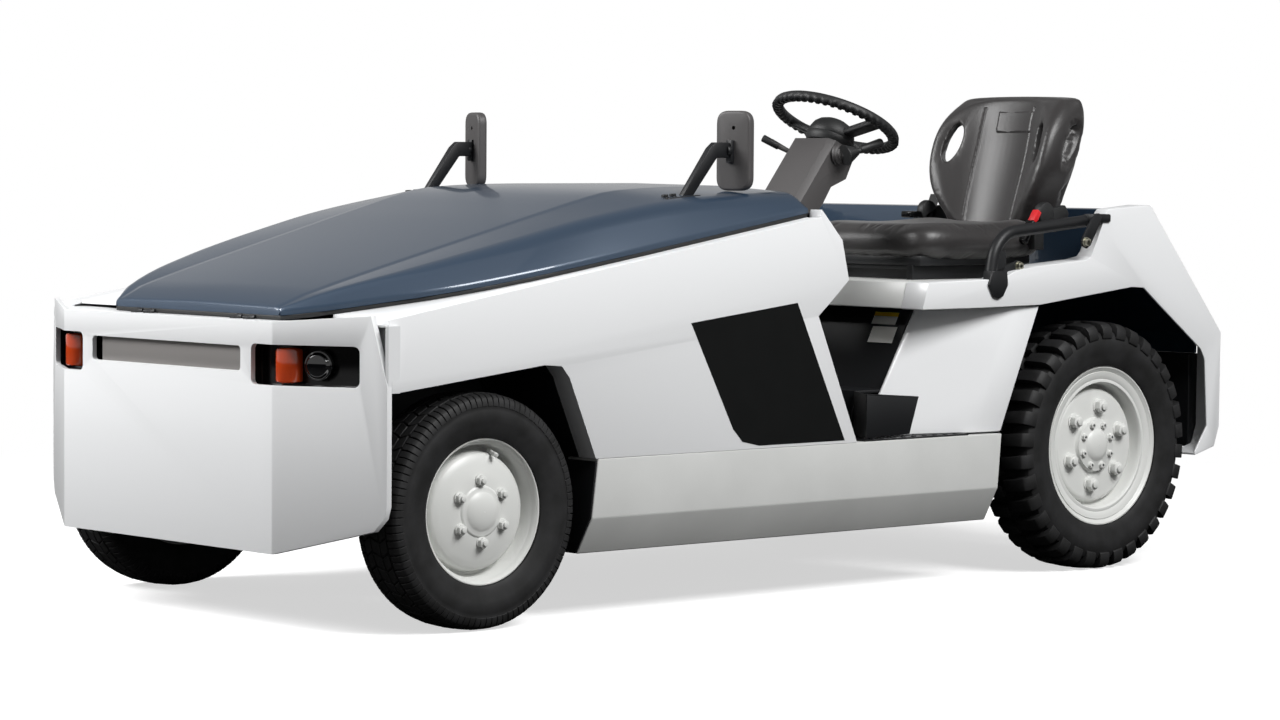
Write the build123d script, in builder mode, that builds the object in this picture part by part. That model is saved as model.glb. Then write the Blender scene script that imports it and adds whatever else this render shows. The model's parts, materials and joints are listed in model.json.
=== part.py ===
from build123d import *
from math import atan2, cos, hypot, pi, radians, sin, tan
import os

os.makedirs("parts", exist_ok=True)

# An electric towing tractor for airport baggage. Millimetres, +X forward, +Y left, +Z up.
# The origin is on the ground, at the middle of the whole length and width.

# Overall sizes
LENGTH = 3070.0
BODY_WIDTH = 1336.0
FRONT_OVERHANG = 425.0
REAR_OVERHANG = 525.0
FLOOR_TOP = 379.0
DECK_TOP = 770.0
HOOD_TOP = 1012.0

# Sheet and plate
PLATE = 8.0
BUMPER_PLATE = 12.0
GAP = 0.3
RUNNING_GAP = 6.0

# Wheels
FRONT_TYRE_RADIUS = 272.0
FRONT_TYRE_WIDTH = 150.0
FRONT_RIM_RADIUS = 169.0
FRONT_TUCK = 4.0
REAR_TYRE_RADIUS = 328.0
REAR_TYRE_WIDTH = 165.0
REAR_RIM_RADIUS = 211.0
REAR_TUCK = 3.5
ARCH_AHEAD = 21.0
ARCH_BEHIND = 52.0
TAIL_CLEARANCE = 29.0
SILL_CLEARANCE = 102.0

# Values that follow
FRONT = LENGTH / 2
HALF = BODY_WIDTH / 2
FRONT_AXLE = FRONT - FRONT_OVERHANG
REAR_AXLE = REAR_OVERHANG - FRONT
FRONT_TRACK = BODY_WIDTH - FRONT_TYRE_WIDTH - 2 * FRONT_TUCK
REAR_TRACK = BODY_WIDTH - REAR_TYRE_WIDTH - 2 * REAR_TUCK
WING_END = FRONT_AXLE + FRONT_TYRE_RADIUS + ARCH_AHEAD
WING_LENGTH = FRONT - WING_END

# Outlines are drawn on a grid of millimetres; each pair is a grid line and where the sizes above put it
LENGTHWISE = [
    (-1535, -FRONT),
    (-1367, REAR_AXLE - REAR_TYRE_RADIUS - TAIL_CLEARANCE),
    (-580, REAR_AXLE + REAR_TYRE_RADIUS + SILL_CLEARANCE),
    (786, FRONT_AXLE - FRONT_TYRE_RADIUS - ARCH_BEHIND),
    (1403, WING_END),
    (1535, FRONT),
]
CROSSWISE = [(0, 0), (668, HALF)]
UPWARD = [(0, 0), (379, FLOOR_TOP), (770, DECK_TOP), (1012, HOOD_TOP)]


def carry(value, pairs):
    """Place of a grid value, in line between the pairs on each side of it."""
    index = 0
    while index < len(pairs) - 2 and value > pairs[index + 1][0]:
        index += 1
    (low, low_at), (high, high_at) = pairs[index], pairs[index + 1]
    return low_at + (value - low) * (high_at - low_at) / (high - low)


def along(x):
    """Place of a grid x."""
    return carry(x, LENGTHWISE)


def across(y):
    """Place of a grid y."""
    return carry(y, CROSSWISE)


def up(z):
    """Height of a grid z."""
    return carry(z, UPWARD)


def side_view(*points):
    """Points of an outline seen from the side."""
    return [(along(x), up(z)) for x, z in points]


# Body lines
SEAT_WIDTH = 480.0
DRIVER_Y = HALF - SEAT_WIDTH / 2 - 128
SILL_CREASE = up(240)
SILL_BOTTOM = up(155)
SILL_TUCK = 39.0
SHOULDER_FRONT = up(706)
SHOULDER_REAR = up(935.8)
HOOD_REAR = along(45)
BUMPER_HALF = across(419)
BUMPER_TOP = up(718)
BUMPER_BOTTOM = up(183)
DECK_FRONT = along(-324)
REAR_WALL = along(-1140)
REAR_WALL_TOP = up(950)
SHOULDER_START = WING_END + 35.0
SHOULDER_RISE = (SHOULDER_REAR - SHOULDER_FRONT) / (SHOULDER_START - HOOD_REAR)


def shoulder(x):
    """Height of the body's top edge at x."""
    return SHOULDER_FRONT + SHOULDER_RISE * (SHOULDER_START - x)


def ship(piece, name):
    """Labels a finished piece and writes its file."""
    piece.part.label = name
    export_step(piece.part, f"parts/{name}.step")


# Front bumper: a bent plate with a slot, two lamp openings that wrap its corners and a top ledge
WING_LEAN = 35.0
WING_KINK = up(566)
SLOT_HALF = across(298)
SLOT_BOTTOM = up(591)
SLOT_TOP = up(648)
LAMP_START = across(339)
LAMP_BOTTOM = up(563)
LAMP_TOP = up(655)
LAMP_MARGIN = 67.0
BUMPER_CORNER = 14.0
LEDGE_TOP = up(704)
wing_angle = atan2(HALF - BUMPER_HALF, WING_LENGTH)
wing_turn = pi / 2 - wing_angle
lamp_run = hypot(HALF - BUMPER_HALF, WING_LENGTH) - LAMP_MARGIN
wing_in = BUMPER_PLATE * tan(wing_turn / 2)
inner_x = FRONT - BUMPER_PLATE
inner_y = BUMPER_HALF - wing_in
wing_back = BUMPER_PLATE / sin(wing_angle)

bumper_plan = [
    (FRONT, -BUMPER_HALF),
    (FRONT, BUMPER_HALF),
    (WING_END, HALF),
    (WING_END - wing_back, HALF),
    (inner_x, inner_y),
    (inner_x, -inner_y),
    (WING_END - wing_back, -HALF),
    (WING_END, -HALF),
]
bumper_face = [
    (BUMPER_HALF, BUMPER_BOTTOM),
    (across(640), up(243)),
    (across(662), up(272)),
    (HALF, up(300)),
    (HALF, WING_KINK),
    (HALF - WING_LEAN, BUMPER_TOP + 6),
    (BUMPER_HALF, BUMPER_TOP),
]
with BuildPart() as front_bumper:
    with BuildSketch(Plane.XY.offset(BUMPER_BOTTOM)) as plan:
        with BuildLine():
            Polyline(*bumper_plan, close=True)
        make_face()
        fillet(plan.vertices().group_by(Axis.X)[-1], BUMPER_CORNER)
    extrude(amount=BUMPER_TOP + 20 - BUMPER_BOTTOM)
    with BuildSketch(Plane.YZ):
        with BuildLine():
            mirrored = [(-y, z) for y, z in reversed(bumper_face)]
            Polyline(*bumper_face, *mirrored, close=True)
        make_face()
    extrude(amount=FRONT + 10, mode=Mode.INTERSECT)
    with BuildSketch(Plane.YZ.offset(inner_x - 20)):
        with Locations((0, (SLOT_BOTTOM + SLOT_TOP) / 2)):
            RectangleRounded(2 * SLOT_HALF, SLOT_TOP - SLOT_BOTTOM, 10)
    extrude(amount=60, mode=Mode.SUBTRACT)
    lamp_y = LAMP_START + (BUMPER_HALF - LAMP_START + lamp_run * sin(wing_angle)) / 2
    lamp_span = BUMPER_HALF - LAMP_START + lamp_run * sin(wing_angle)
    for side in (1, -1):
        with BuildSketch(Plane.YZ.offset(inner_x - 140)):
            with Locations((side * lamp_y, (LAMP_BOTTOM + LAMP_TOP) / 2)):
                RectangleRounded(lamp_span, LAMP_TOP - LAMP_BOTTOM, 14)
        extrude(amount=180, mode=Mode.SUBTRACT)
    with BuildSketch(Plane.XY.offset(LEDGE_TOP - PLATE)):
        with BuildLine():
            Polyline(
                (inner_x, -inner_y),
                (inner_x, inner_y),
                (WING_END - wing_back + 20, HALF - 45),
                (WING_END - 10, HALF - 60),
                (WING_END - 10, -HALF + 60),
                (WING_END - wing_back + 20, -HALF + 45),
                close=True,
            )
        make_face()
    extrude(amount=PLATE)
ship(front_bumper, "front_bumper")

# Brushed plate behind the slot
with BuildPart() as grille_plate:
    with BuildSketch(Plane.YZ.offset(inner_x - GAP - 4)):
        with Locations((0, (SLOT_BOTTOM + SLOT_TOP) / 2)):
            Rectangle(2 * SLOT_HALF + 24, SLOT_TOP - SLOT_BOTTOM + 24)
    extrude(amount=4)
ship(grille_plate, "grille_plate")

# Lamp housings behind the corner openings, each a box with a pocket for its lamps
HOUSING_DEPTH = 60.0
HOUSING_EDGE = 10.0
POCKET_DEPTH = 26.0
housing_face = BUMPER_PLATE + GAP
pocket_floor = housing_face + POCKET_DEPTH


def behind(depth, run):
    """Point that deep behind the bumper's skin; the run is counted from the corner, negative along the front."""
    corner = Vector(FRONT - depth, BUMPER_HALF - depth * tan(wing_turn / 2), 0)
    along = Vector(-cos(wing_angle), sin(wing_angle), 0) if run > 0 else Vector(0, 1, 0)
    return corner + along * run


def corner_band(near, far, start, end):
    """Plan of a bent band round the left corner between two depths."""
    return [
        behind(near, start),
        behind(near, 0),
        behind(near, end),
        behind(far, end),
        behind(far, 0),
        behind(far, start),
    ]


lamp_start = LAMP_START - BUMPER_HALF
with BuildPart() as lamp_housings:
    with BuildSketch(Plane.XY.offset(LAMP_BOTTOM - HOUSING_EDGE)):
        with BuildLine():
            edge = HOUSING_EDGE
            Polyline(*corner_band(housing_face, HOUSING_DEPTH, lamp_start - edge, lamp_run + edge), close=True)
        make_face()
    extrude(amount=LAMP_TOP - LAMP_BOTTOM + 2 * HOUSING_EDGE)
    with BuildSketch(Plane.XY.offset(LAMP_BOTTOM)):
        with BuildLine():
            Polyline(*corner_band(0, pocket_floor, lamp_start, lamp_run), close=True)
        make_face()
    extrude(amount=LAMP_TOP - LAMP_BOTTOM, mode=Mode.SUBTRACT)
    mirror(about=Plane.XZ)
ship(lamp_housings, "lamp_housings")

# Turn lenses at the corners and round headlamps on the wings, each on its pocket's floor
TURN_START = -62.0
TURN_END = -8.0
TURN_THICK = 17.0
FLUTES = 5
FLUTE = 3.0
with BuildPart() as turn_lenses:
    with BuildSketch(Plane.XY.offset(LAMP_BOTTOM + 4)):
        with BuildLine():
            back = pocket_floor - GAP
            Polyline(
                behind(back, TURN_START),
                behind(back, TURN_END),
                behind(back - TURN_THICK, TURN_END),
                behind(back - TURN_THICK, TURN_START),
                close=True,
            )
        make_face()
    extrude(amount=LAMP_TOP - LAMP_BOTTOM - 8)
    with BuildSketch(Plane.XY.offset(LAMP_BOTTOM + 10)):
        for index in range(FLUTES):
            run = TURN_START + (index + 0.5) * (TURN_END - TURN_START) / FLUTES
            with Locations(behind(back - TURN_THICK, run)):
                Circle(FLUTE)
    extrude(amount=LAMP_TOP - LAMP_BOTTOM - 20)
    mirror(about=Plane.XZ)
ship(turn_lenses, "turn_lenses")

HEADLAMP_RADIUS = 34.0
LAMP_BEZEL = 14.0
LAMP_DOME = 7.0
headlamp_run = 0.43 * lamp_run
with BuildPart() as headlamps:
    slope = Plane(
        origin=behind(pocket_floor - GAP, headlamp_run) + Vector(0, 0, (LAMP_BOTTOM + LAMP_TOP) / 2),
        x_dir=(0, 0, 1),
        z_dir=(sin(wing_angle), cos(wing_angle), 0),
    )
    with BuildSketch(slope):
        Circle(HEADLAMP_RADIUS)
    extrude(amount=LAMP_BEZEL)
    with BuildSketch(slope.offset(LAMP_BEZEL)):
        Circle(HEADLAMP_RADIUS - 4)
    extrude(amount=LAMP_DOME, taper=40)
    mirror(about=Plane.XZ)
ship(headlamps, "headlamps")

# Hood: a hollow shell through stations; columns are
# x, half width of the lower edge, half width of the shoulder, shoulder height, crease half width, crown height
HOOD_FRONT = FRONT - 89.0
HOOD_WALL = 6.0
SEAL = 10.0
HOOD_SEAT = GAP
STEP_RUN = 12.0
STEP_DROP = 2.5
hood_grid = [
    (1401, 388, 370, 756, 314, 759),
    (1340, 430, 405, 776, 320, 779),
    (1263, 475, 444, 799, 326, 803),
    (1150, 535, 492, 827, 332, 832),
    (1040, 572, 512, 855, 338, 861),
    (900, 596, 535, 890, 344, 896),
    (740, 604, 548, 928, 352, 940),
    (560, 608, 562, 963, 361, 985),
    (445, 608, 566, 976, 366, 1003),
    (45, 608, 564, 998, 366, 1012),
]
stations = [(HOOD_FRONT, across(330), across(322), up(737), across(300), up(740))]
for x, edge, brow, brow_z, crease, crown in hood_grid:
    stations.append((along(x), across(edge), across(brow), up(brow_z), across(crease), up(crown)))


def hood_ring(x, edge, brow, brow_z, crease, crown, wall, x_shift):
    """Section of the hood at x, made smaller by the wall and open below where it is."""
    low = shoulder(x + x_shift) + HOOD_SEAT + SEAL - wall
    points = [
        (edge - wall, low),
        (brow - wall, brow_z - wall),
        (crease + STEP_RUN - wall * 0.3, crown - STEP_DROP - wall),
        (crease - wall * 0.3, crown - wall),
    ]
    mirrored = [(-y, z) for y, z in reversed(points)]
    with BuildSketch(Plane.YZ.offset(x + x_shift)) as ring:
        with BuildLine():
            Polyline(*points, *mirrored, close=True)
        make_face()
    return ring.sketch


# Hood hinges, just ahead of its front lower edge
HINGE_X = HOOD_FRONT + 9.0
HINGE_Z = LEDGE_TOP + 9.0
HINGE_Y = 200.0
HINGE_RADIUS = 7.0
HINGE_PIN = 3.5
HINGE_PLAY = 0.05
HINGE_MIDDLE = 30.0
HINGE_END = 20.0
HINGE_FOOT = 24.0

outer_rings = [hood_ring(*station, 0, 0) for station in stations]
inner_rings = [
    hood_ring(*stations[0], HOOD_WALL, -2 * HOOD_WALL),
    *[hood_ring(*station, HOOD_WALL, 0) for station in stations[1:-1]],
    hood_ring(*stations[-1], HOOD_WALL, HOOD_WALL),
]
with BuildPart() as hood:
    loft(outer_rings, ruled=True)
    loft(inner_rings, ruled=True, mode=Mode.SUBTRACT)
    for y in (-HINGE_Y, HINGE_Y):
        with BuildSketch(Plane.XZ.offset(-y - HINGE_MIDDLE / 2)):
            with Locations((HINGE_X, HINGE_Z)):
                Circle(HINGE_RADIUS)
            with Locations(((HOOD_FRONT - 3 + HINGE_X) / 2, HINGE_Z + HINGE_RADIUS - 1.5)):
                Rectangle(HINGE_X - HOOD_FRONT + 3, 3)
            with Locations((HINGE_X, HINGE_Z)):
                Circle(HINGE_PIN + HINGE_PLAY, mode=Mode.SUBTRACT)
        extrude(amount=HINGE_MIDDLE)
ship(hood, "hood")

# Fixed halves of the hood's hinges, on the bumper's ledge, with the pins
with BuildPart() as hood_hinges:
    for y in (-HINGE_Y, HINGE_Y):
        for end in (-1, 1):
            centre = y + end * (HINGE_MIDDLE + HINGE_END) / 2 + end * GAP
            with BuildSketch(Plane.XZ.offset(-centre - HINGE_END / 2)):
                with Locations((HINGE_X, HINGE_Z)):
                    Circle(HINGE_RADIUS)
                with Locations((HINGE_X + HINGE_FOOT / 2, (LEDGE_TOP + GAP + HINGE_Z) / 2)):
                    Rectangle(HINGE_FOOT, HINGE_Z - LEDGE_TOP - GAP)
            extrude(amount=HINGE_END)
        with BuildSketch(Plane.XZ.offset(-y - HINGE_MIDDLE)):
            with Locations((HINGE_X, HINGE_Z)):
                Circle(HINGE_PIN)
        extrude(amount=2 * HINGE_MIDDLE)
ship(hood_hinges, "hood_hinges")

# Rubber seal round the hood's lower edge
SEAL_WIDTH = 24.0
seal_outer = [(s[0], s[1] - 1) for s in stations]
seal_inner = [
    (HOOD_FRONT - SEAL_WIDTH, stations[0][1] - SEAL_WIDTH),
    *[(s[0], s[1] - SEAL_WIDTH) for s in stations[1:-1]],
    (HOOD_REAR + SEAL_WIDTH, stations[-1][1] - SEAL_WIDTH),
]
with BuildPart() as hood_seal:
    with BuildSketch(Plane.XY.offset(SHOULDER_FRONT - 100)):
        for line, mode in ((seal_outer, Mode.ADD), (seal_inner, Mode.SUBTRACT)):
            with BuildLine():
                Polyline(*line, *[(x, -y) for x, y in reversed(line)], close=True)
            make_face(mode=mode)
    extrude(amount=500)
    with BuildSketch(Plane.XZ):
        with BuildLine():
            far, near = HOOD_FRONT + 20, HOOD_REAR - 20
            Polyline(
                (far, shoulder(far) + HOOD_SEAT),
                (near, shoulder(near) + HOOD_SEAT),
                (near, shoulder(near) + HOOD_SEAT + SEAL),
                (far, shoulder(far) + HOOD_SEAT + SEAL),
                close=True,
            )
        make_face()
    extrude(amount=HALF, both=True, mode=Mode.INTERSECT)
ship(hood_seal, "hood_seal")

def hood_top(x, y):
    """Height of the hood's outer skin at x, y, between the shoulder and the crease."""
    for ahead, behind in zip(stations, stations[1:]):
        if behind[0] <= x <= ahead[0]:
            share = (ahead[0] - x) / (ahead[0] - behind[0])
            brow, brow_z, crease, crown = [a + share * (b - a) for a, b in zip(ahead[2:], behind[2:])]
            return crown + (brow_z - crown) * (abs(y) - crease) / (brow - crease)


# Mirrors on the hood: base plate on the skin, slanted arm and a rounded head turned to the driver
MIRROR_BASE_X = along(380)
MIRROR_Y = across(500)
MIRROR_X = MIRROR_BASE_X - 190.0
MIRROR_WIDTH = 96.0
MIRROR_HEIGHT = 196.0
MIRROR_TURN = 17.0
MIRROR_Z = HOOD_TOP + 86.0
ARM_RADIUS = 8.0
MIRROR_PLATE = 7.0
MIRROR_DEPTH = 22.0
MIRROR_RIM = 3.0
with BuildPart() as mirrors:
    for side in (1, -1):
        seat = Vector(MIRROR_BASE_X, side * MIRROR_Y, hood_top(MIRROR_BASE_X, MIRROR_Y))
        ahead = Vector(50, 0, hood_top(MIRROR_BASE_X + 50, MIRROR_Y) - seat.Z)
        aside = Vector(0, side * 30, hood_top(MIRROR_BASE_X, MIRROR_Y + 30) - seat.Z)
        normal = ahead.cross(aside) * side
        base = Plane(origin=seat, x_dir=ahead, z_dir=normal).offset(0.8)
        with BuildSketch(base):
            Rectangle(115, 36)
        extrude(amount=MIRROR_PLATE)
        with BuildLine():
            arm = FilletPolyline(
                (MIRROR_BASE_X - 30, side * MIRROR_Y, hood_top(MIRROR_BASE_X - 30, MIRROR_Y) + MIRROR_PLATE),
                (MIRROR_BASE_X - 125, side * MIRROR_Y, MIRROR_Z),
                (MIRROR_X - 4, side * MIRROR_Y, MIRROR_Z),
                radius=14,
            )
        with BuildSketch(Plane(origin=arm @ 0, z_dir=arm % 0)):
            Circle(ARM_RADIUS)
        sweep(path=arm)
        turn = radians(MIRROR_TURN)
        head = Plane(
            origin=(MIRROR_X, side * MIRROR_Y, MIRROR_Z),
            x_dir=(-sin(turn), side * cos(turn), 0),
            z_dir=(-cos(turn), -side * sin(turn), 0),
        )
        with BuildSketch(head):
            RectangleRounded(MIRROR_WIDTH, MIRROR_HEIGHT, 20)
        extrude(amount=MIRROR_DEPTH)
        for face in (head, head.offset(MIRROR_DEPTH - MIRROR_RIM)):
            with BuildSketch(face):
                RectangleRounded(MIRROR_WIDTH - 12, MIRROR_HEIGHT - 12, 15)
            extrude(amount=MIRROR_RIM, mode=Mode.SUBTRACT)
        with BuildSketch(head.offset(-10)):
            RectangleRounded(26, 52, 5)
        extrude(amount=10 + MIRROR_RIM + 1)
ship(mirrors, "mirrors")

# Side panels: a pressed skin with returned edges, a slanted upper facet and a top flange under the hood
panel_front = WING_END - wing_back - GAP
panel_outline = [
    (panel_front, WING_KINK - 14),
    *side_view((1372, 553), (944, 602), (892, 598), (868, 570)),
    (along(786), FLOOR_TOP + GAP),
    (along(-73), FLOOR_TOP + GAP),
    *side_view((64, 695), (-43, 782), (-28, 880), (36, 955)),
    (HOOD_REAR - 6, shoulder(HOOD_REAR) + 12),
    (HOOD_REAR - 6, shoulder(HOOD_REAR)),
    (panel_front, shoulder(panel_front)),
]
PANEL_DEPTH = 60.0
CREASE_FRONT = up(575)
CREASE_RISE = 0.118
FACET_LEAN = 18.0
flange_line = [(s[0], s[1] - 26) for s in stations if s[0] < WING_END - 10]


def lean_block(inset):
    """Wedge outside the slanted facet, moved in by the inset."""
    with BuildPart(mode=Mode.PRIVATE) as wedge:
        for x in (WING_END + 50, along(-120)):
            crease = CREASE_FRONT + CREASE_RISE * (WING_END - x)
            with BuildSketch(Plane.YZ.offset(x)):
                with BuildLine():
                    Polyline(
                        (HALF - inset, crease),
                        (HALF - inset - 2 * FACET_LEAN, crease + 400),
                        (HALF + 60, crease + 400),
                        (HALF + 60, crease),
                        close=True,
                    )
                make_face()
        loft(ruled=True)
    return wedge.part


for side, name in ((1, "side_panel_left"), (-1, "side_panel_right")):
    with BuildPart() as panel:
        with BuildSketch(Plane.XZ.offset(-HALF)):
            with BuildLine():
                Polyline(*panel_outline, close=True)
            make_face()
        extrude(amount=PANEL_DEPTH)
        add(lean_block(0), mode=Mode.SUBTRACT)
        with BuildPart(mode=Mode.PRIVATE) as pocket:
            with BuildSketch(Plane.XZ.offset(-HALF + PLATE)):
                with BuildLine():
                    Polyline(*panel_outline, close=True)
                make_face()
                offset(amount=-PLATE, kind=Kind.INTERSECTION)
            extrude(amount=PANEL_DEPTH)
            add(lean_block(PLATE), mode=Mode.SUBTRACT)
        add(pocket.part, mode=Mode.SUBTRACT)
        with BuildPart(mode=Mode.PRIVATE) as flange:
            with BuildSketch(Plane.XY.offset(500)):
                with BuildLine():
                    top = flange_line
                    Polyline(
                        (top[0][0] + 20, HALF - PANEL_DEPTH + 1),
                        (top[0][0] + 20, top[0][1] + 10),
                        *top,
                        (top[-1][0], HALF - PANEL_DEPTH + 1),
                        close=True,
                    )
                make_face()
            extrude(amount=600)
            with BuildSketch(Plane.XZ):
                with BuildLine():
                    Polyline(
                        (WING_END, shoulder(WING_END)),
                        (HOOD_REAR - 6, shoulder(HOOD_REAR - 6)),
                        (HOOD_REAR - 6, shoulder(HOOD_REAR - 6) - PLATE),
                        (WING_END, shoulder(WING_END) - PLATE),
                        close=True,
                    )
                make_face()
            extrude(amount=-900, mode=Mode.INTERSECT)
        add(flange.part)
        if side < 0:
            mirror(about=Plane.XZ, mode=Mode.REPLACE)
    ship(panel, name)

# Sills: the low side beams between the wheels, with a tucked lower face
SILL_FRONT_TOP = along(778)
SILL_FRONT_BOTTOM = along(808)
SILL_REAR_TOP = along(-600)
SILL_REAR_BOTTOM = along(-580)
SILL_DEPTH = 110.0
SILL_ROUND = 16.0
SILL_EDGE = 5.0
with BuildPart() as sills:
    for side in (1, -1):
        with BuildSketch(Plane.YZ.offset(SILL_REAR_TOP)) as section:
            with BuildLine():
                Polyline(
                    (side * HALF, FLOOR_TOP),
                    (side * HALF, SILL_CREASE),
                    (side * (HALF - SILL_TUCK), SILL_BOTTOM),
                    (side * (HALF - SILL_TUCK - PLATE), SILL_BOTTOM),
                    (side * (HALF - PLATE), SILL_CREASE + 2),
                    (side * (HALF - PLATE), FLOOR_TOP - PLATE),
                    (side * (HALF - SILL_DEPTH), FLOOR_TOP - PLATE),
                    (side * (HALF - SILL_DEPTH), FLOOR_TOP),
                    close=True,
                )
            make_face()
            outer_line = section.vertices().filter_by(lambda v: abs(v.X) > HALF - 1)
            fillet(outer_line.group_by(Axis.Y)[0], SILL_ROUND)
            fillet(outer_line.group_by(Axis.Y)[-1], SILL_EDGE)
        extrude(amount=SILL_FRONT_BOTTOM - SILL_REAR_TOP)
    with BuildSketch(Plane.XZ):
        with BuildLine():
            Polyline(
                (SILL_FRONT_TOP, FLOOR_TOP),
                (SILL_FRONT_BOTTOM, SILL_BOTTOM),
                (SILL_REAR_BOTTOM, SILL_BOTTOM),
                (SILL_REAR_TOP, FLOOR_TOP),
                close=True,
            )
        make_face()
    extrude(amount=900, both=True, mode=Mode.INTERSECT)
ship(sills, "sills")

# Chassis frame: two rails that rise over the axles, with cross members
RAIL_Y = across(255)
RAIL_WIDTH = 60.0
RAIL_FRONT = inner_x - 110
RAIL_REAR = along(-1430)
NOSE_RAIL = up(340)
NOSE_TOP = up(440)
TAIL_RAIL = up(440)
TAIL_TOP = up(520)
rail_profile = [
    (RAIL_FRONT, NOSE_TOP),
    (along(960), NOSE_TOP),
    (along(830), FLOOR_TOP - 20),
    (along(-740), FLOOR_TOP - 20),
    (along(-810), TAIL_TOP),
    (RAIL_REAR, TAIL_TOP),
    (RAIL_REAR, TAIL_RAIL),
    (along(-860), TAIL_RAIL),
    *side_view((-800, 239), (870, 239)),
    (along(980), NOSE_RAIL),
    (RAIL_FRONT, NOSE_RAIL),
]
CROSS = 50.0
cross_members = [
    (RAIL_FRONT - CROSS, NOSE_RAIL, NOSE_TOP),
    (along(820), up(250), FLOOR_TOP - 25),
    (along(300), up(250), FLOOR_TOP - 25),
    (along(-300), up(250), FLOOR_TOP - 25),
    (along(-700), up(250), FLOOR_TOP - 25),
    (RAIL_REAR, TAIL_RAIL, TAIL_TOP),
]
OUTRIGGER = 40.0
outriggers = [along(700), along(60), along(-520)]
with BuildPart() as chassis_frame:
    for side in (1, -1):
        with BuildSketch(Plane.XZ.offset(-side * RAIL_Y - RAIL_WIDTH / 2)):
            with BuildLine():
                Polyline(*rail_profile, close=True)
            make_face()
        extrude(amount=RAIL_WIDTH)
    for x, low, high in cross_members:
        with BuildSketch(Plane.XZ.offset(-RAIL_Y)):
            with Locations((x + CROSS / 2, (low + high) / 2)):
                Rectangle(CROSS, high - low)
        extrude(amount=2 * RAIL_Y)
    for x in outriggers:
        with BuildSketch(Plane.XZ.offset(-(HALF - SILL_DEPTH + 20))):
            with Locations((x, FLOOR_TOP - PLATE - GAP - 40)):
                Rectangle(OUTRIGGER, 80)
        extrude(amount=2 * (HALF - SILL_DEPTH + 20))
ship(chassis_frame, "chassis_frame")

# Floor
COWL_FRONT = along(500)
FLOOR_REAR = along(-420)
with BuildPart() as floor_plate:
    with BuildSketch(Plane.XY.offset(FLOOR_TOP - 6)):
        with Locations(((COWL_FRONT + FLOOR_REAR) / 2, 0)):
            Rectangle(COWL_FRONT - FLOOR_REAR, 2 * (HALF - SILL_DEPTH) - 2 * GAP)
    extrude(amount=6)
ship(floor_plate, "floor_plate")

# Studded step plates on the sills
STEP_PLATE = 4.0
STUD_PITCH = 38.0
stud_rows = [(HALF - 17, 9), (HALF - 51, 6)]
STEP_FRONT = along(-105)
STEP_REAR = along(-480)
with BuildPart() as step_plates:
    for side in (1, -1):
        with BuildSketch(Plane.XY.offset(FLOOR_TOP + GAP)):
            with Locations(((STEP_FRONT + STEP_REAR) / 2, side * (HALF - 34))):
                Rectangle(STEP_FRONT - STEP_REAR, 60)
        extrude(amount=STEP_PLATE)
        with BuildSketch(Plane.XY.offset(FLOOR_TOP + GAP + STEP_PLATE)):
            for y, count in stud_rows:
                with Locations(*[(STEP_FRONT - 35 - index * STUD_PITCH, side * y) for index in range(count)]):
                    RegularPolygon(7, 8)
        extrude(amount=2.5)
ship(step_plates, "step_plates")

# Cowl: the folded wall between the footwell and the battery bay
COWL_WALL = 12.0
cowl_back = side_view((37, 940), (30, 948), (-26, 876), (-40, 784), (60, 712))
cowl_path = [
    *cowl_back,
    (COWL_FRONT - COWL_WALL, up(700)),
    (COWL_FRONT - COWL_WALL, FLOOR_TOP + GAP),
    (COWL_FRONT, FLOOR_TOP + GAP),
    (COWL_FRONT, up(700) + COWL_WALL),
    *side_view((64, 724), (-26, 788), (-14, 872), (36, 934)),
]
cowl_half = HALF - PANEL_DEPTH - GAP
with BuildPart() as cowl:
    with BuildSketch(Plane.XZ.offset(-cowl_half)):
        with BuildLine():
            Polyline(*cowl_path, close=True)
        make_face()
    extrude(amount=2 * cowl_half)
ship(cowl, "cowl")

# Battery block under the hood
BATTERY_LENGTH = 660.0
BATTERY_WIDTH = 650.0
BATTERY_HEIGHT = 330.0
with BuildPart() as battery:
    with BuildSketch(Plane.XY.offset(NOSE_TOP + GAP)):
        with Locations((COWL_FRONT + 30 + BATTERY_LENGTH / 2, 0)):
            RectangleRounded(BATTERY_LENGTH, BATTERY_WIDTH, 12)
    extrude(amount=BATTERY_HEIGHT)
ship(battery, "battery")

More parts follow.
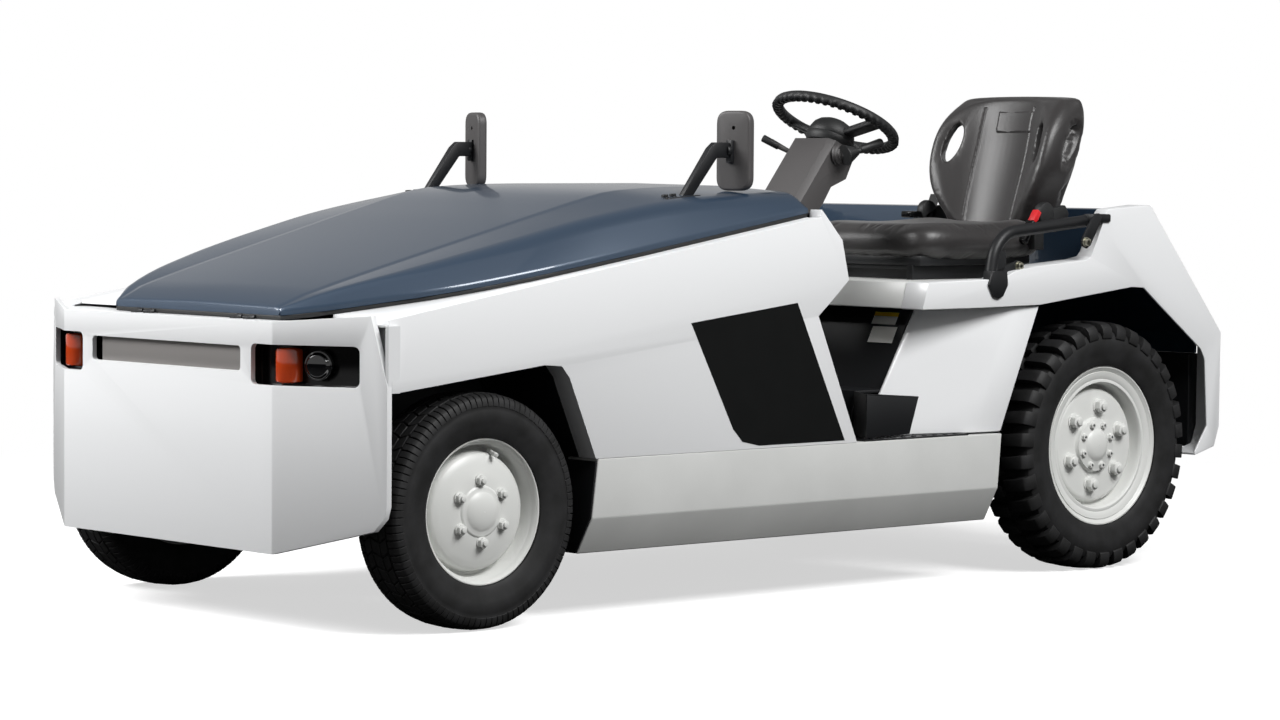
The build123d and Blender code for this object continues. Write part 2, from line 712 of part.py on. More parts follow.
# Front wheel-arch liners: sheets that carry on from the panels' returned edges
LINER_INNER = BATTERY_WIDTH / 2 + 5
LINER = 6.0
END_PLATE = 5.0
LINER_FRONT = WING_END - 60
LINER_REAR = along(760)
with BuildPart() as arch_liners:
    with BuildSketch(Plane.XZ.offset(-(HALF - PANEL_DEPTH - GAP))):
        with BuildLine():
            Polyline(*panel_outline, close=True)
        make_face()
        offset(amount=-LINER, kind=Kind.INTERSECTION, mode=Mode.SUBTRACT)
        with Locations(((LINER_FRONT + LINER_REAR) / 2, up(500))):
            Rectangle(LINER_FRONT - LINER_REAR, up(620) - FLOOR_TOP, mode=Mode.INTERSECT)
    extrude(amount=HALF - PANEL_DEPTH - GAP - LINER_INNER)
    with BuildPart(mode=Mode.PRIVATE) as end_plate:
        with BuildSketch(Plane.YZ.offset(SILL_FRONT_TOP)):
            with BuildLine():
                Polyline(
                    (HALF - 2, FLOOR_TOP - 8),
                    (HALF - 2, SILL_CREASE),
                    (HALF - SILL_TUCK - 2, SILL_BOTTOM + 1),
                    (HALF - SILL_DEPTH, SILL_BOTTOM + 1),
                    (HALF - SILL_DEPTH, FLOOR_TOP - 8),
                    close=True,
                )
            make_face()
        extrude(amount=2 * (SILL_FRONT_BOTTOM - SILL_FRONT_TOP))
        with BuildSketch(Plane.XZ):
            with BuildLine():
                Polyline(
                    (SILL_FRONT_TOP + GAP, FLOOR_TOP),
                    (SILL_FRONT_TOP + GAP + END_PLATE, FLOOR_TOP),
                    (SILL_FRONT_BOTTOM + GAP + END_PLATE, SILL_BOTTOM),
                    (SILL_FRONT_BOTTOM + GAP, SILL_BOTTOM),
                    close=True,
                )
            make_face()
        extrude(amount=-HALF, mode=Mode.INTERSECT)
    add(end_plate.part)
    mirror(about=Plane.XZ)
ship(arch_liners, "arch_liners")

# Steering column: a folded shroud, a bellows with its lever on the left and a stalk on the right
WHEEL_X = along(-350)
WHEEL_Z = DECK_TOP + 395
WHEEL_TILT = 25.0
SHAFT_RADIUS = 10.0
SHAFT_LENGTH = 60.0
SHROUD_HALF = 75.0
SHROUD_BEVEL = 14.0
COLLAR_RADIUS = 26.0
axis_dir = (-sin(radians(WHEEL_TILT)), 0, cos(radians(WHEEL_TILT)))
column_plane = Plane(origin=(WHEEL_X, DRIVER_Y, WHEEL_Z), x_dir=(0, 1, 0), z_dir=axis_dir)
shroud_line = [
    (-268, 1133), (-345, 1097), (-345, 1080), (-318, 1028), (-265, 1008), (-236, 965), (-70, 784), (40, 720),
    (40, 760), (-165, 1003),
]
bellows_rings = [(0, 27), (5, 23), (10, 26), (15, 21), (20, 23), (25, 18), (30, 19), (36, 12)]
with BuildPart() as steering_column:
    with BuildSketch(Plane.XZ.offset(-DRIVER_Y - SHROUD_HALF)):
        with BuildLine():
            Polyline(*side_view(*shroud_line), close=True)
        make_face()
    extrude(amount=2 * SHROUD_HALF)
    front_faces = steering_column.faces().filter_by(lambda f: f.normal_at().X > 0.1 and f.normal_at().Z > 0.1)
    ridges = front_faces.edges().filter_by(lambda e: abs(abs(e.center().Y - DRIVER_Y) - SHROUD_HALF) < 1)
    chamfer(ridges, SHROUD_BEVEL)
    with BuildSketch(column_plane.offset(-96)):
        Circle(COLLAR_RADIUS)
    extrude(amount=64)
    root = Vector(along(-286), DRIVER_Y + SHROUD_HALF - 2, up(1090))
    bellows = Plane(origin=root, x_dir=(1, 0, 0.3), z_dir=(-0.3, 0.95, 0.1))
    with BuildSketch(Plane(origin=root, x_dir=bellows.z_dir, z_dir=bellows.x_dir)):
        with BuildLine():
            Polyline((0, 0), *bellows_rings, (36, 0), close=True)
        make_face()
    revolve(axis=Axis(root, bellows.z_dir))
    knuckle_point = root + bellows.z_dir * 30
    with BuildSketch(Plane(origin=knuckle_point, z_dir=(-0.92, 0.16, 0.25))):
        Circle(8)
    extrude(amount=98, taper=-1)
    with BuildSketch(Plane(origin=(along(-262), DRIVER_Y - SHROUD_HALF + 3, up(1096)), z_dir=(0.55, -0.7, 0.46))):
        Circle(6)
    extrude(amount=58, taper=-3)
    with BuildSketch(Plane.XZ):
        with BuildLine():
            behind_cowl = [(x - GAP, z + GAP) for x, z in cowl_back[1:4]]
            Polyline(
                (behind_cowl[0][0], WHEEL_Z),
                *behind_cowl,
                (behind_cowl[-1][0], FLOOR_TOP),
                (COWL_FRONT, FLOOR_TOP),
                (COWL_FRONT, WHEEL_Z),
                close=True,
            )
        make_face()
    extrude(amount=HALF, both=True, mode=Mode.SUBTRACT)
    with BuildSketch(column_plane.offset(-32)):
        Circle(SHAFT_RADIUS + 0.09)
    extrude(amount=-SHAFT_LENGTH, mode=Mode.SUBTRACT)
ship(steering_column, "steering_column")

WHEEL_RADIUS = 165.0
GRIP_RADIUS = 13.0
HUB_RADIUS = 46.0
hub_line = [(0, -26), (44, -26), (HUB_RADIUS, -22), (HUB_RADIUS, -4), (42, 8), (30, 17), (12, 21), (0, 21)]
wheel_normal = (cos(radians(WHEEL_TILT)), 0, sin(radians(WHEEL_TILT)))
turning_plane = Plane(origin=column_plane.origin, x_dir=(0, 1, 0), z_dir=wheel_normal)
with BuildPart() as steering_wheel:
    with BuildSketch(turning_plane):
        with Locations((WHEEL_RADIUS, 0)):
            Circle(GRIP_RADIUS)
    revolve(axis=Axis(column_plane.origin, axis_dir))
    with BuildSketch(turning_plane):
        with BuildLine():
            Polyline(*hub_line, close=True)
        make_face()
    revolve(axis=Axis(column_plane.origin, axis_dir))
    for side in (1, -1):
        with BuildSketch(turning_plane) as spoke:
            with BuildLine():
                Polyline(
                    (side * (HUB_RADIUS - 8), -20),
                    (side * (HUB_RADIUS - 8), -6),
                    (side * WHEEL_RADIUS, 5),
                    (side * WHEEL_RADIUS, -6),
                    close=True,
                )
            make_face()
        extrude(amount=15, both=True)
    with BuildSketch(column_plane.offset(-20)):
        Circle(SHAFT_RADIUS)
    extrude(amount=-SHAFT_LENGTH)
ship(steering_wheel, "steering_wheel")

# Seat deck: a folded sheet with a front fascia
FENDER_DEPTH = 78.0
FASCIA_BOTTOM = up(703)
deck_half = HALF - FENDER_DEPTH - GAP
with BuildPart() as seat_deck:
    with BuildSketch(Plane.XZ.offset(-deck_half)):
        with BuildLine():
            Polyline(
                (DECK_FRONT, DECK_TOP),
                (DECK_FRONT + 21, FASCIA_BOTTOM),
                (DECK_FRONT + 21 - PLATE, FASCIA_BOTTOM),
                (DECK_FRONT - PLATE, DECK_TOP - PLATE),
                (REAR_WALL, DECK_TOP - PLATE),
                (REAR_WALL, DECK_TOP),
                close=True,
            )
        make_face()
    extrude(amount=2 * deck_half)
ship(seat_deck, "seat_deck")

# Black kick panel under the deck, with the lower box
KICK_TOP_X = along(-385)
KICK_MID_X = along(-272)
BOX_TOP = up(498)
BOX_FRONT = along(-150)
SIDE_SHEET = 8.0
SIDE_INNER = across(566)
kick_half = SIDE_INNER - SIDE_SHEET - GAP
RIB = 6.0
rib_places = [across(436), across(458), across(-436), across(-458)]
with BuildPart() as kick_panel:
    with BuildSketch(Plane.XZ.offset(-kick_half)):
        with BuildLine():
            Polyline(
                (KICK_TOP_X, DECK_TOP - PLATE - GAP),
                (KICK_TOP_X + 6, FASCIA_BOTTOM),
                (KICK_MID_X, BOX_TOP),
                (BOX_FRONT - 30, BOX_TOP),
                (BOX_FRONT, FLOOR_TOP + GAP),
                (BOX_FRONT - 8, FLOOR_TOP + GAP),
                (BOX_FRONT - 36, BOX_TOP - 8),
                (KICK_MID_X - 6, BOX_TOP - 8),
                (KICK_TOP_X - 2, FASCIA_BOTTOM),
                (KICK_TOP_X - 8, DECK_TOP - PLATE - GAP),
                close=True,
            )
        make_face()
    extrude(amount=2 * kick_half)
    for y in rib_places:
        with BuildSketch(Plane.XZ.offset(-y - RIB / 2)):
            with BuildLine():
                Polyline(
                    (BOX_FRONT - 30, BOX_TOP),
                    (BOX_FRONT - 30 + RIB, BOX_TOP),
                    (BOX_FRONT + RIB, FLOOR_TOP + GAP),
                    (BOX_FRONT - 2, FLOOR_TOP + GAP),
                    close=True,
                )
            make_face()
        extrude(amount=RIB)
ship(kick_panel, "kick_panel")

# White side panels under the deck, folded where they meet the sill
foot_bends = [(-195, 566), (-521, 652), (-604, 660)]
head_bends = [(-385, 566), (-665, 652), (-745, 660)]
with BuildPart() as seat_side_panels:
    for bends, z in ((foot_bends, FLOOR_TOP + STEP_PLATE + 2 * GAP), (head_bends, FASCIA_BOTTOM - GAP)):
        outer = [(along(x), across(y)) for x, y in bends]
        inner = [(x, y - SIDE_SHEET) for x, y in reversed(outer)]
        with BuildSketch(Plane.XY.offset(z)):
            with BuildLine():
                Polyline(*outer, *inner, close=True)
            make_face()
    loft(ruled=True)
    mirror(about=Plane.XZ)
ship(seat_side_panels, "seat_side_panels")

# Rear fenders: a pan with returned edges
fender_outline = [
    (DECK_FRONT, DECK_TOP),
    *side_view((-590, 766), (-665, 795), (-876, 826), (-906, 907), (-936, 946), (-1180, 963)),
    *side_view((-1469, 618), (-1467, 362), (-1447, 308), (-1367, 287), (-1367, 297), (-1416, 364)),
    *side_view((-1403, 546), (-1386, 574), (-1189, 713), (-1148, 743), (-1099, 746), (-739, 706)),
    (along(-512), FASCIA_BOTTOM),
    (DECK_FRONT + 21, FASCIA_BOTTOM),
]
for side, name in ((1, "rear_fender_left"), (-1, "rear_fender_right")):
    with BuildPart() as fender:
        with BuildSketch(Plane.XZ.offset(-HALF)):
            with BuildLine():
                Polyline(*fender_outline, close=True)
            make_face()
        extrude(amount=FENDER_DEPTH)
        with BuildSketch(Plane.XZ.offset(-HALF + PLATE)):
            with BuildLine():
                Polyline(*fender_outline, close=True)
            make_face()
            offset(amount=-PLATE, kind=Kind.INTERSECTION)
        extrude(amount=FENDER_DEPTH, mode=Mode.SUBTRACT)
        if side < 0:
            mirror(about=Plane.XZ, mode=Mode.REPLACE)
    ship(fender, name)

# Rear cover between the fenders: wall behind the seat, short top and the sloping tail
tail_half = HALF - FENDER_DEPTH - GAP
PLATE_TOP = up(557)
PLATE_BOTTOM = up(303)
with BuildPart() as rear_deck:
    with BuildSketch(Plane.XZ.offset(-tail_half)):
        with BuildLine():
            Polyline(
                (REAR_WALL + PLATE, DECK_TOP),
                (REAR_WALL + PLATE, REAR_WALL_TOP),
                *side_view((-1184, 952), (-1463, 618)),
                (along(-1463), PLATE_TOP + GAP),
                (along(-1463) + PLATE, PLATE_TOP + GAP),
                (along(-1463) + PLATE, up(614)),
                *side_view((-1182, 942)),
                (REAR_WALL, REAR_WALL_TOP - PLATE),
                (REAR_WALL, DECK_TOP),
                close=True,
            )
        make_face()
    extrude(amount=2 * tail_half)
ship(rear_deck, "rear_deck")

# Rear plate: a thick slab across the tail that carries the hitch
REAR_PLATE_FRONT = RAIL_REAR
REAR_PLATE = 39.0
with BuildPart() as rear_plate:
    with BuildSketch(Plane.YZ.offset(REAR_PLATE_FRONT - GAP - REAR_PLATE)):
        with Locations((0, (PLATE_TOP + PLATE_BOTTOM) / 2)):
            Rectangle(2 * tail_half, PLATE_TOP - PLATE_BOTTOM)
    extrude(amount=REAR_PLATE)
ship(rear_plate, "rear_plate")

# Tow hitch: two jaws with a pin between them
HITCH_Z = up(400)
JAW = 22.0
JAW_GAP = 80.0
PIN_RADIUS = 15.0
PIN_CLEARANCE = 0.5
hitch_face = REAR_PLATE_FRONT - GAP - REAR_PLATE
hitch_end = -FRONT
pin_x = hitch_end + 30
with BuildPart() as tow_hitch:
    with BuildSketch(Plane.XZ.offset(-60)):
        with Locations((hitch_face - 8, HITCH_Z)):
            Rectangle(16, JAW_GAP + 2 * JAW)
    extrude(amount=120)
    for z in (HITCH_Z - JAW_GAP / 2 - JAW, HITCH_Z + JAW_GAP / 2):
        with BuildSketch(Plane.XY.offset(z)):
            with Locations(((hitch_face + pin_x) / 2, 0)):
                Rectangle(hitch_face - pin_x, 76)
            with Locations((pin_x, 0)):
                Circle(30)
                Circle(PIN_RADIUS + PIN_CLEARANCE, mode=Mode.SUBTRACT)
        extrude(amount=JAW)
ship(tow_hitch, "tow_hitch")

with BuildPart() as hitch_pin:
    with BuildSketch(Plane.XY.offset(HITCH_Z - JAW_GAP / 2 - JAW - 12)):
        with Locations((pin_x, 0)):
            Circle(PIN_RADIUS)
    extrude(amount=JAW_GAP + 2 * JAW + 12 + GAP)
    with BuildSketch(Plane.XY.offset(HITCH_Z + JAW_GAP / 2 + JAW + GAP)):
        with Locations((pin_x, 0)):
            Circle(PIN_RADIUS + 7)
    extrude(amount=14)
ship(hitch_pin, "hitch_pin")

# Rear lamps on the rear plate
with BuildPart() as rear_lamps:
    for side in (1, -1):
        with BuildSketch(Plane.YZ.offset(hitch_face - GAP - 28)):
            with Locations((side * across(470), up(480))):
                RectangleRounded(150, 80, 12)
        extrude(amount=28)
        for z in (up(480) - 19, up(480) + 19):
            with BuildSketch(Plane.YZ.offset(hitch_face - GAP - 28)):
                with Locations((side * across(470), z)):
                    RectangleRounded(134, 32, 6)
            extrude(amount=-6)
ship(rear_lamps, "rear_lamps")

# Seat
SEAT_FRONT = along(-430)
SEAT_REAR = along(-900)
BASE_HEIGHT = 38.0
CUSHION_TOP = DECK_TOP + 110
SLIDE = 22.0
SLIDE_Y = SEAT_WIDTH / 2 - 72
with BuildPart() as seat_base:
    seat_mid = (SEAT_FRONT + SEAT_REAR) / 2
    with BuildSketch(Plane.XY.offset(DECK_TOP + GAP)):
        for side in (1, -1):
            with Locations((seat_mid, DRIVER_Y + side * SLIDE_Y)):
                Rectangle(SEAT_FRONT - SEAT_REAR - 60, SLIDE)
        with Locations((seat_mid, DRIVER_Y)):
            RectangleRounded(SEAT_FRONT - SEAT_REAR - 150, 2 * SLIDE_Y - 60, 12)
    extrude(amount=BASE_HEIGHT)
    with BuildSketch(Plane.XY.offset(DECK_TOP + GAP + BASE_HEIGHT - 12)):
        with Locations((seat_mid, DRIVER_Y)):
            RectangleRounded(SEAT_FRONT - SEAT_REAR - 90, 2 * SLIDE_Y + SLIDE, 10)
    extrude(amount=12)
ship(seat_base, "seat_base")

with BuildPart() as seat_cushion:
    with BuildSketch(Plane.XY.offset(DECK_TOP + BASE_HEIGHT + 2 * GAP)):
        with Locations(((SEAT_FRONT + SEAT_REAR) / 2, DRIVER_Y)):
            RectangleRounded(SEAT_FRONT - SEAT_REAR, SEAT_WIDTH, 60)
    extrude(amount=CUSHION_TOP - DECK_TOP - BASE_HEIGHT - 2 * GAP)
ship(seat_cushion, "seat_cushion")

BACK_LEAN = radians(12)
back_plane = Plane(
    origin=(SEAT_REAR + 40, DRIVER_Y, CUSHION_TOP + 6.5),
    x_dir=(0, 1, 0),
    z_dir=(cos(BACK_LEAN), 0, sin(BACK_LEAN)),
)
with BuildPart() as seat_back:
    with BuildSketch(back_plane):
        with Locations((0, 195)):
            RectangleRounded(SEAT_WIDTH - 30, 385, 90)
        with Locations((-150, 215)):
            SlotCenterToCenter(60, 60, rotation=80, mode=Mode.SUBTRACT)
    extrude(amount=-80)
ship(seat_back, "seat_back")

with BuildPart() as seat_belt:
    with BuildSketch(Plane.XZ.offset(-(DRIVER_Y + SEAT_WIDTH / 2 + GAP))):
        with Locations((SEAT_REAR + 50, CUSHION_TOP)):
            Rectangle(36, 70)
    extrude(amount=-22)
ship(seat_belt, "seat_belt")

# Hip rails: bent tubes beside the seat
RAIL_RADIUS = 13.0
with BuildPart() as hip_rails:
    for side in (1, -1):
        y = side * (HALF - FENDER_DEPTH / 2)
        with BuildLine() as path:
            bends = side_view((-925, 921), (-606, 891), (-572, 771))
            FilletPolyline(*[(x, y, z) for x, z in bends], radius=70)
        with BuildSketch(Plane(origin=path.line @ 0, z_dir=path.line % 0)):
            Circle(RAIL_RADIUS)
        sweep()
    with BuildSketch(Plane.XZ):
        with BuildLine():
            raised_edge = side_view((-876, 826), (-906, 907), (-936, 946), (-1100, 946), (-1100, 826))
            Polyline(*[(x + GAP, z) for x, z in raised_edge], close=True)
        make_face()
    extrude(amount=HALF, both=True, mode=Mode.SUBTRACT)
ship(hip_rails, "hip_rails")

# Pedals under the cowl
PEDAL_X = along(300)
PEDAL_Z = FLOOR_TOP + 91
with BuildPart() as pedals:
    for y in (DRIVER_Y + 60, DRIVER_Y - 90):
        pad = Plane(origin=(PEDAL_X, y, PEDAL_Z), x_dir=(0, 1, 0), z_dir=(-0.8, 0, 0.6))
        with BuildSketch(pad):
            RectangleRounded(80, 110, 10)
        extrude(amount=10)
        with BuildSketch(pad.offset(10)):
            for row in range(-2, 3):
                with Locations((0, row * 18)):
                    Rectangle(64, 8)
        extrude(amount=2.5)
        with BuildSketch(Plane(origin=(PEDAL_X, y, PEDAL_Z), z_dir=(COWL_FRONT - PEDAL_X, 0, 60))):
            Circle(9)
        extrude(amount=hypot(COWL_FRONT - PEDAL_X, 60))
    split(bisect_by=Plane.YZ.offset(COWL_FRONT - COWL_WALL - GAP), keep=Keep.BOTTOM)
ship(pedals, "pedals")

# Front axle beam with its kingpin eyes
KINGPIN_Y = FRONT_TRACK / 2 - 99
KINGPIN_RADIUS = 15.0
EYE_RADIUS = 30.0
BEAM_HALF = 32.0
with BuildPart() as front_axle:
    with BuildSketch(Plane.XZ.offset(-(KINGPIN_Y))):
        with Locations((FRONT_AXLE, FRONT_TYRE_RADIUS)):
            Rectangle(2 * BEAM_HALF, 2 * BEAM_HALF)
    extrude(amount=2 * KINGPIN_Y)
    for side in (1, -1):
        with BuildSketch(Plane.XY.offset(FRONT_TYRE_RADIUS - BEAM_HALF)):
            with Locations((FRONT_AXLE, side * KINGPIN_Y)):
                Circle(EYE_RADIUS + 6)
        extrude(amount=2 * BEAM_HALF)
        with BuildSketch(Plane.XY.offset(FRONT_TYRE_RADIUS - BEAM_HALF)):
            with Locations((FRONT_AXLE, side * KINGPIN_Y)):
                Circle(KINGPIN_RADIUS + 0.05)
        extrude(amount=2 * BEAM_HALF, mode=Mode.SUBTRACT)
        with BuildSketch(Plane.XY.offset(FRONT_TYRE_RADIUS + BEAM_HALF)):
            with Locations((FRONT_AXLE, side * RAIL_Y)):
                Rectangle(80, RAIL_WIDTH)
        extrude(amount=NOSE_RAIL - FRONT_TYRE_RADIUS - BEAM_HALF - GAP)
ship(front_axle, "front_axle")

# Knuckles: a fork round the axle's eye, a kingpin, a stub axle and a steering arm
FORK = 16.0
STUB_RADIUS = 24.0
ARM_BACK = 150.0
wheel_y = FRONT_TRACK / 2
for side, name in ((1, "knuckle_left"), (-1, "knuckle_right")):
    with BuildPart() as knuckle:
        with BuildSketch(Plane.XY.offset(FRONT_TYRE_RADIUS - BEAM_HALF - FORK - GAP)):
            with Locations((FRONT_AXLE, side * KINGPIN_Y)):
                Circle(KINGPIN_RADIUS)
        extrude(amount=2 * (BEAM_HALF + FORK + GAP))
        for z in (FRONT_TYRE_RADIUS - BEAM_HALF - FORK - GAP, FRONT_TYRE_RADIUS + BEAM_HALF + GAP):
            with BuildSketch(Plane.XY.offset(z)):
                with Locations((FRONT_AXLE, side * KINGPIN_Y)):
                    Circle(EYE_RADIUS)
                with Locations((FRONT_AXLE, side * (KINGPIN_Y + 26))):
                    Rectangle(2 * EYE_RADIUS, 52)
            extrude(amount=FORK)
        with BuildSketch(Plane.XZ.offset(-side * (KINGPIN_Y + EYE_RADIUS + 6 + RUNNING_GAP))):
            with Locations((FRONT_AXLE, FRONT_TYRE_RADIUS)):
                Rectangle(2 * EYE_RADIUS, 2 * (BEAM_HALF + FORK + GAP))
        extrude(amount=-side * 12)
        with BuildSketch(Plane.XZ.offset(-side * (KINGPIN_Y + EYE_RADIUS + 12))):
            with Locations((FRONT_AXLE, FRONT_TYRE_RADIUS)):
                Circle(STUB_RADIUS)
        extrude(amount=-side * (wheel_y + 20 - KINGPIN_Y - EYE_RADIUS - 12))
        with BuildSketch(Plane.XY.offset(FRONT_TYRE_RADIUS - BEAM_HALF - FORK - GAP)):
            with Locations((FRONT_AXLE - ARM_BACK / 2, side * KINGPIN_Y)):
                Rectangle(ARM_BACK, 26)
            with Locations((FRONT_AXLE - ARM_BACK, side * KINGPIN_Y)):
                Circle(18)
                Circle(8.05, mode=Mode.SUBTRACT)
        extrude(amount=FORK)
    ship(knuckle, name)

# Tie rod below the steering arms, its two pins up through the arms' eyes
tie_z = FRONT_TYRE_RADIUS - BEAM_HALF - FORK - GAP
with BuildPart() as tie_rod:
    with BuildSketch(Plane.XZ.offset(-(KINGPIN_Y + 14))):
        with Locations((FRONT_AXLE - ARM_BACK, tie_z - 14 - GAP)):
            Circle(14)
    extrude(amount=2 * (KINGPIN_Y + 14))
    for side in (1, -1):
        with BuildSketch(Plane.XY.offset(tie_z - 14)):
            with Locations((FRONT_AXLE - ARM_BACK, side * KINGPIN_Y)):
                Circle(8 if side > 0 else 7)
        extrude(amount=FORK + 14 + 4)
ship(tie_rod, "tie_rod")

# Rear axle: a tube with a round gear housing
TUBE_RADIUS = 48.0
HOUSING_RADIUS = 130.0
with BuildPart() as rear_axle:
    with BuildSketch(Plane.XZ.offset(-(REAR_TRACK / 2 - 60))):
        with Locations((REAR_AXLE, REAR_TYRE_RADIUS)):
            Circle(TUBE_RADIUS)
    extrude(amount=REAR_TRACK - 120)
    with BuildSketch(Plane.XZ.offset(-80)):
        with Locations((REAR_AXLE, REAR_TYRE_RADIUS)):
            Circle(HOUSING_RADIUS)
    extrude(amount=160)
    for side in (1, -1):
        with BuildSketch(Plane.XY.offset(REAR_TYRE_RADIUS)):
            with Locations((REAR_AXLE, side * RAIL_Y)):
                Rectangle(90, RAIL_WIDTH)
        extrude(amount=TAIL_RAIL - REAR_TYRE_RADIUS - GAP)
        with BuildSketch(Plane.XZ.offset(-side * (REAR_TRACK / 2 - 61))):
            with Locations((REAR_AXLE, REAR_TYRE_RADIUS)):
                Circle(30)
        extrude(amount=-side * 100)
ship(rear_axle, "rear_axle")

# Drive motor in front of the gear housing
with BuildPart() as drive_motor:
    with BuildSketch(Plane.YZ.offset(REAR_AXLE + HOUSING_RADIUS + GAP)):
        with Locations((0, REAR_TYRE_RADIUS - 10)):
            Circle(95)
    extrude(amount=150)
ship(drive_motor, "drive_motor")


# Wheels. Sections are pairs of a place along the axle, outwards from the tyre's middle, and a radius
STUB_PLAY = 0.08
SHAFT_END = 39.0
STUB_END = 20.0


def front_rim(radius, half, bore):
    """Half section of the front rim: flanges, a well, a rounded disc and a closed hub cap."""
    return [
        (half, radius),
        (half, radius - 6),
        (half - 8, radius - 13),
        (12, radius - 19),
        (7, radius - 26),
        (15, radius - 33),
        (30, radius - 42),
        (33, radius - 52),
        (33, bore + 36),
        (37, bore + 32),
        (37, bore + 22),
        (50, bore + 15),
        (half - 1, bore),
        (half - 1, 0),
        (STUB_END + 2, 0),
        (STUB_END + 2, bore),
        (-half + 20, bore),
        (-half + 20, bore + 20),
        (25, bore + 34),
        (25, radius - 55),
        (9, radius - 39),
        (-2, radius - 26),
        (-2, radius - 17),
        (-half + 12, radius - 17),
        (-half, radius - 6),
        (-half, radius),
        (-half + 10, radius),
        (-half + 14, radius - 8),
        (half - 14, radius - 8),
        (half - 10, radius),
    ]


def rear_rim(radius, half, bore):
    """Half section of the rear rim: flanges with a side ring, a deep disc and a flanged hub."""
    return [
        (half, radius),
        (half, radius - 7),
        (half - 4, radius - 14),
        (half - 8, radius - 36),
        (half - 8, radius - 45),
        (half - 14, radius - 49),
        (10, radius - 51),
        (2, radius - 57),
        (2, bore + 44),
        (12, bore + 38),
        (12, bore + 12),
        (34, bore + 9),
        (half - 16, bore - 6),
        (half - 14, 0),
        (SHAFT_END + 3, 0),
        (SHAFT_END + 3, bore),
        (-half + 12, bore),
        (-half + 12, bore + 26),
        (-8, bore + 34),
        (-8, radius - 39),
        (-half + 14, radius - 25),
        (-half, radius - 7),
        (-half, radius),
        (-half + 10, radius),
        (-half + 14, radius - 9),
        (half - 14, radius - 9),
        (half - 10, radius),
    ]


def front_carcass(radius, half, seat):
    """Sections of the front tyre's polygons, from its outer bead over the tread's middle."""
    return [
        (half - 18, seat - 4),
        (half - 3, seat + 16),
        (half, (radius + seat) / 2),
        (half - 8, radius - 15),
        (half - 33, radius),
    ]


def rear_carcass(radius, half, seat):
    """Sections of the rear tyre's polygons under its lugs."""
    return [
        (half - 20, seat - 4),
        (half - 4, seat + 20),
        (half - 1, radius - 45),
        (half - 14, radius - 24),
    ]


# Lug tread of the rear tyres: teeth on each side of the middle, half a pitch apart
LUGS = 32
LUG_SHARE = 0.62
LUG_ROOT = 34.0
lug_sections = [
    # place from the tyre's middle as a share of its half width, depth of the lug's top under the tyre's radius
    (0.03, 0.0),
    (0.70, 2.0),
    (1.0, 14.0),
]


def polygon_ring(sections, sides, place, side):
    """Solid through regular polygons along an axle; a corner of each points down."""
    rings = []
    for offset_along, ring_radius in sections:
        plane = Plane(origin=place + Vector(0, side * offset_along, 0), x_dir=(1, 0, 0), z_dir=(0, side, 0))
        with BuildSketch(plane) as ring:
            RegularPolygon(ring_radius, sides)
        rings.append(ring.sketch)
    return rings


def toothed(place, half, radius, side, turn):
    """Sections of a toothed ring, whose teeth taper at the shoulder."""
    rings = []
    pitch = 360 / LUGS
    for share, drop in lug_sections:
        plane = Plane(origin=place + Vector(0, side * share * half, 0), x_dir=(1, 0, 0), z_dir=(0, 1, 0))
        corners = []
        for index in range(LUGS):
            start = (index + turn - LUG_SHARE / 2) * pitch
            end = (index + turn + LUG_SHARE / 2) * pitch
            for reach, angle in (
                (radius - LUG_ROOT, start), (radius - drop, start), (radius - drop, end), (radius - LUG_ROOT, end),
            ):
                corners.append((reach * cos(radians(angle)), reach * sin(radians(angle))))
        with BuildSketch(plane) as ring:
            with BuildLine():
                Polyline(*corners, close=True)
            make_face()
        rings.append(ring.sketch)
    return rings


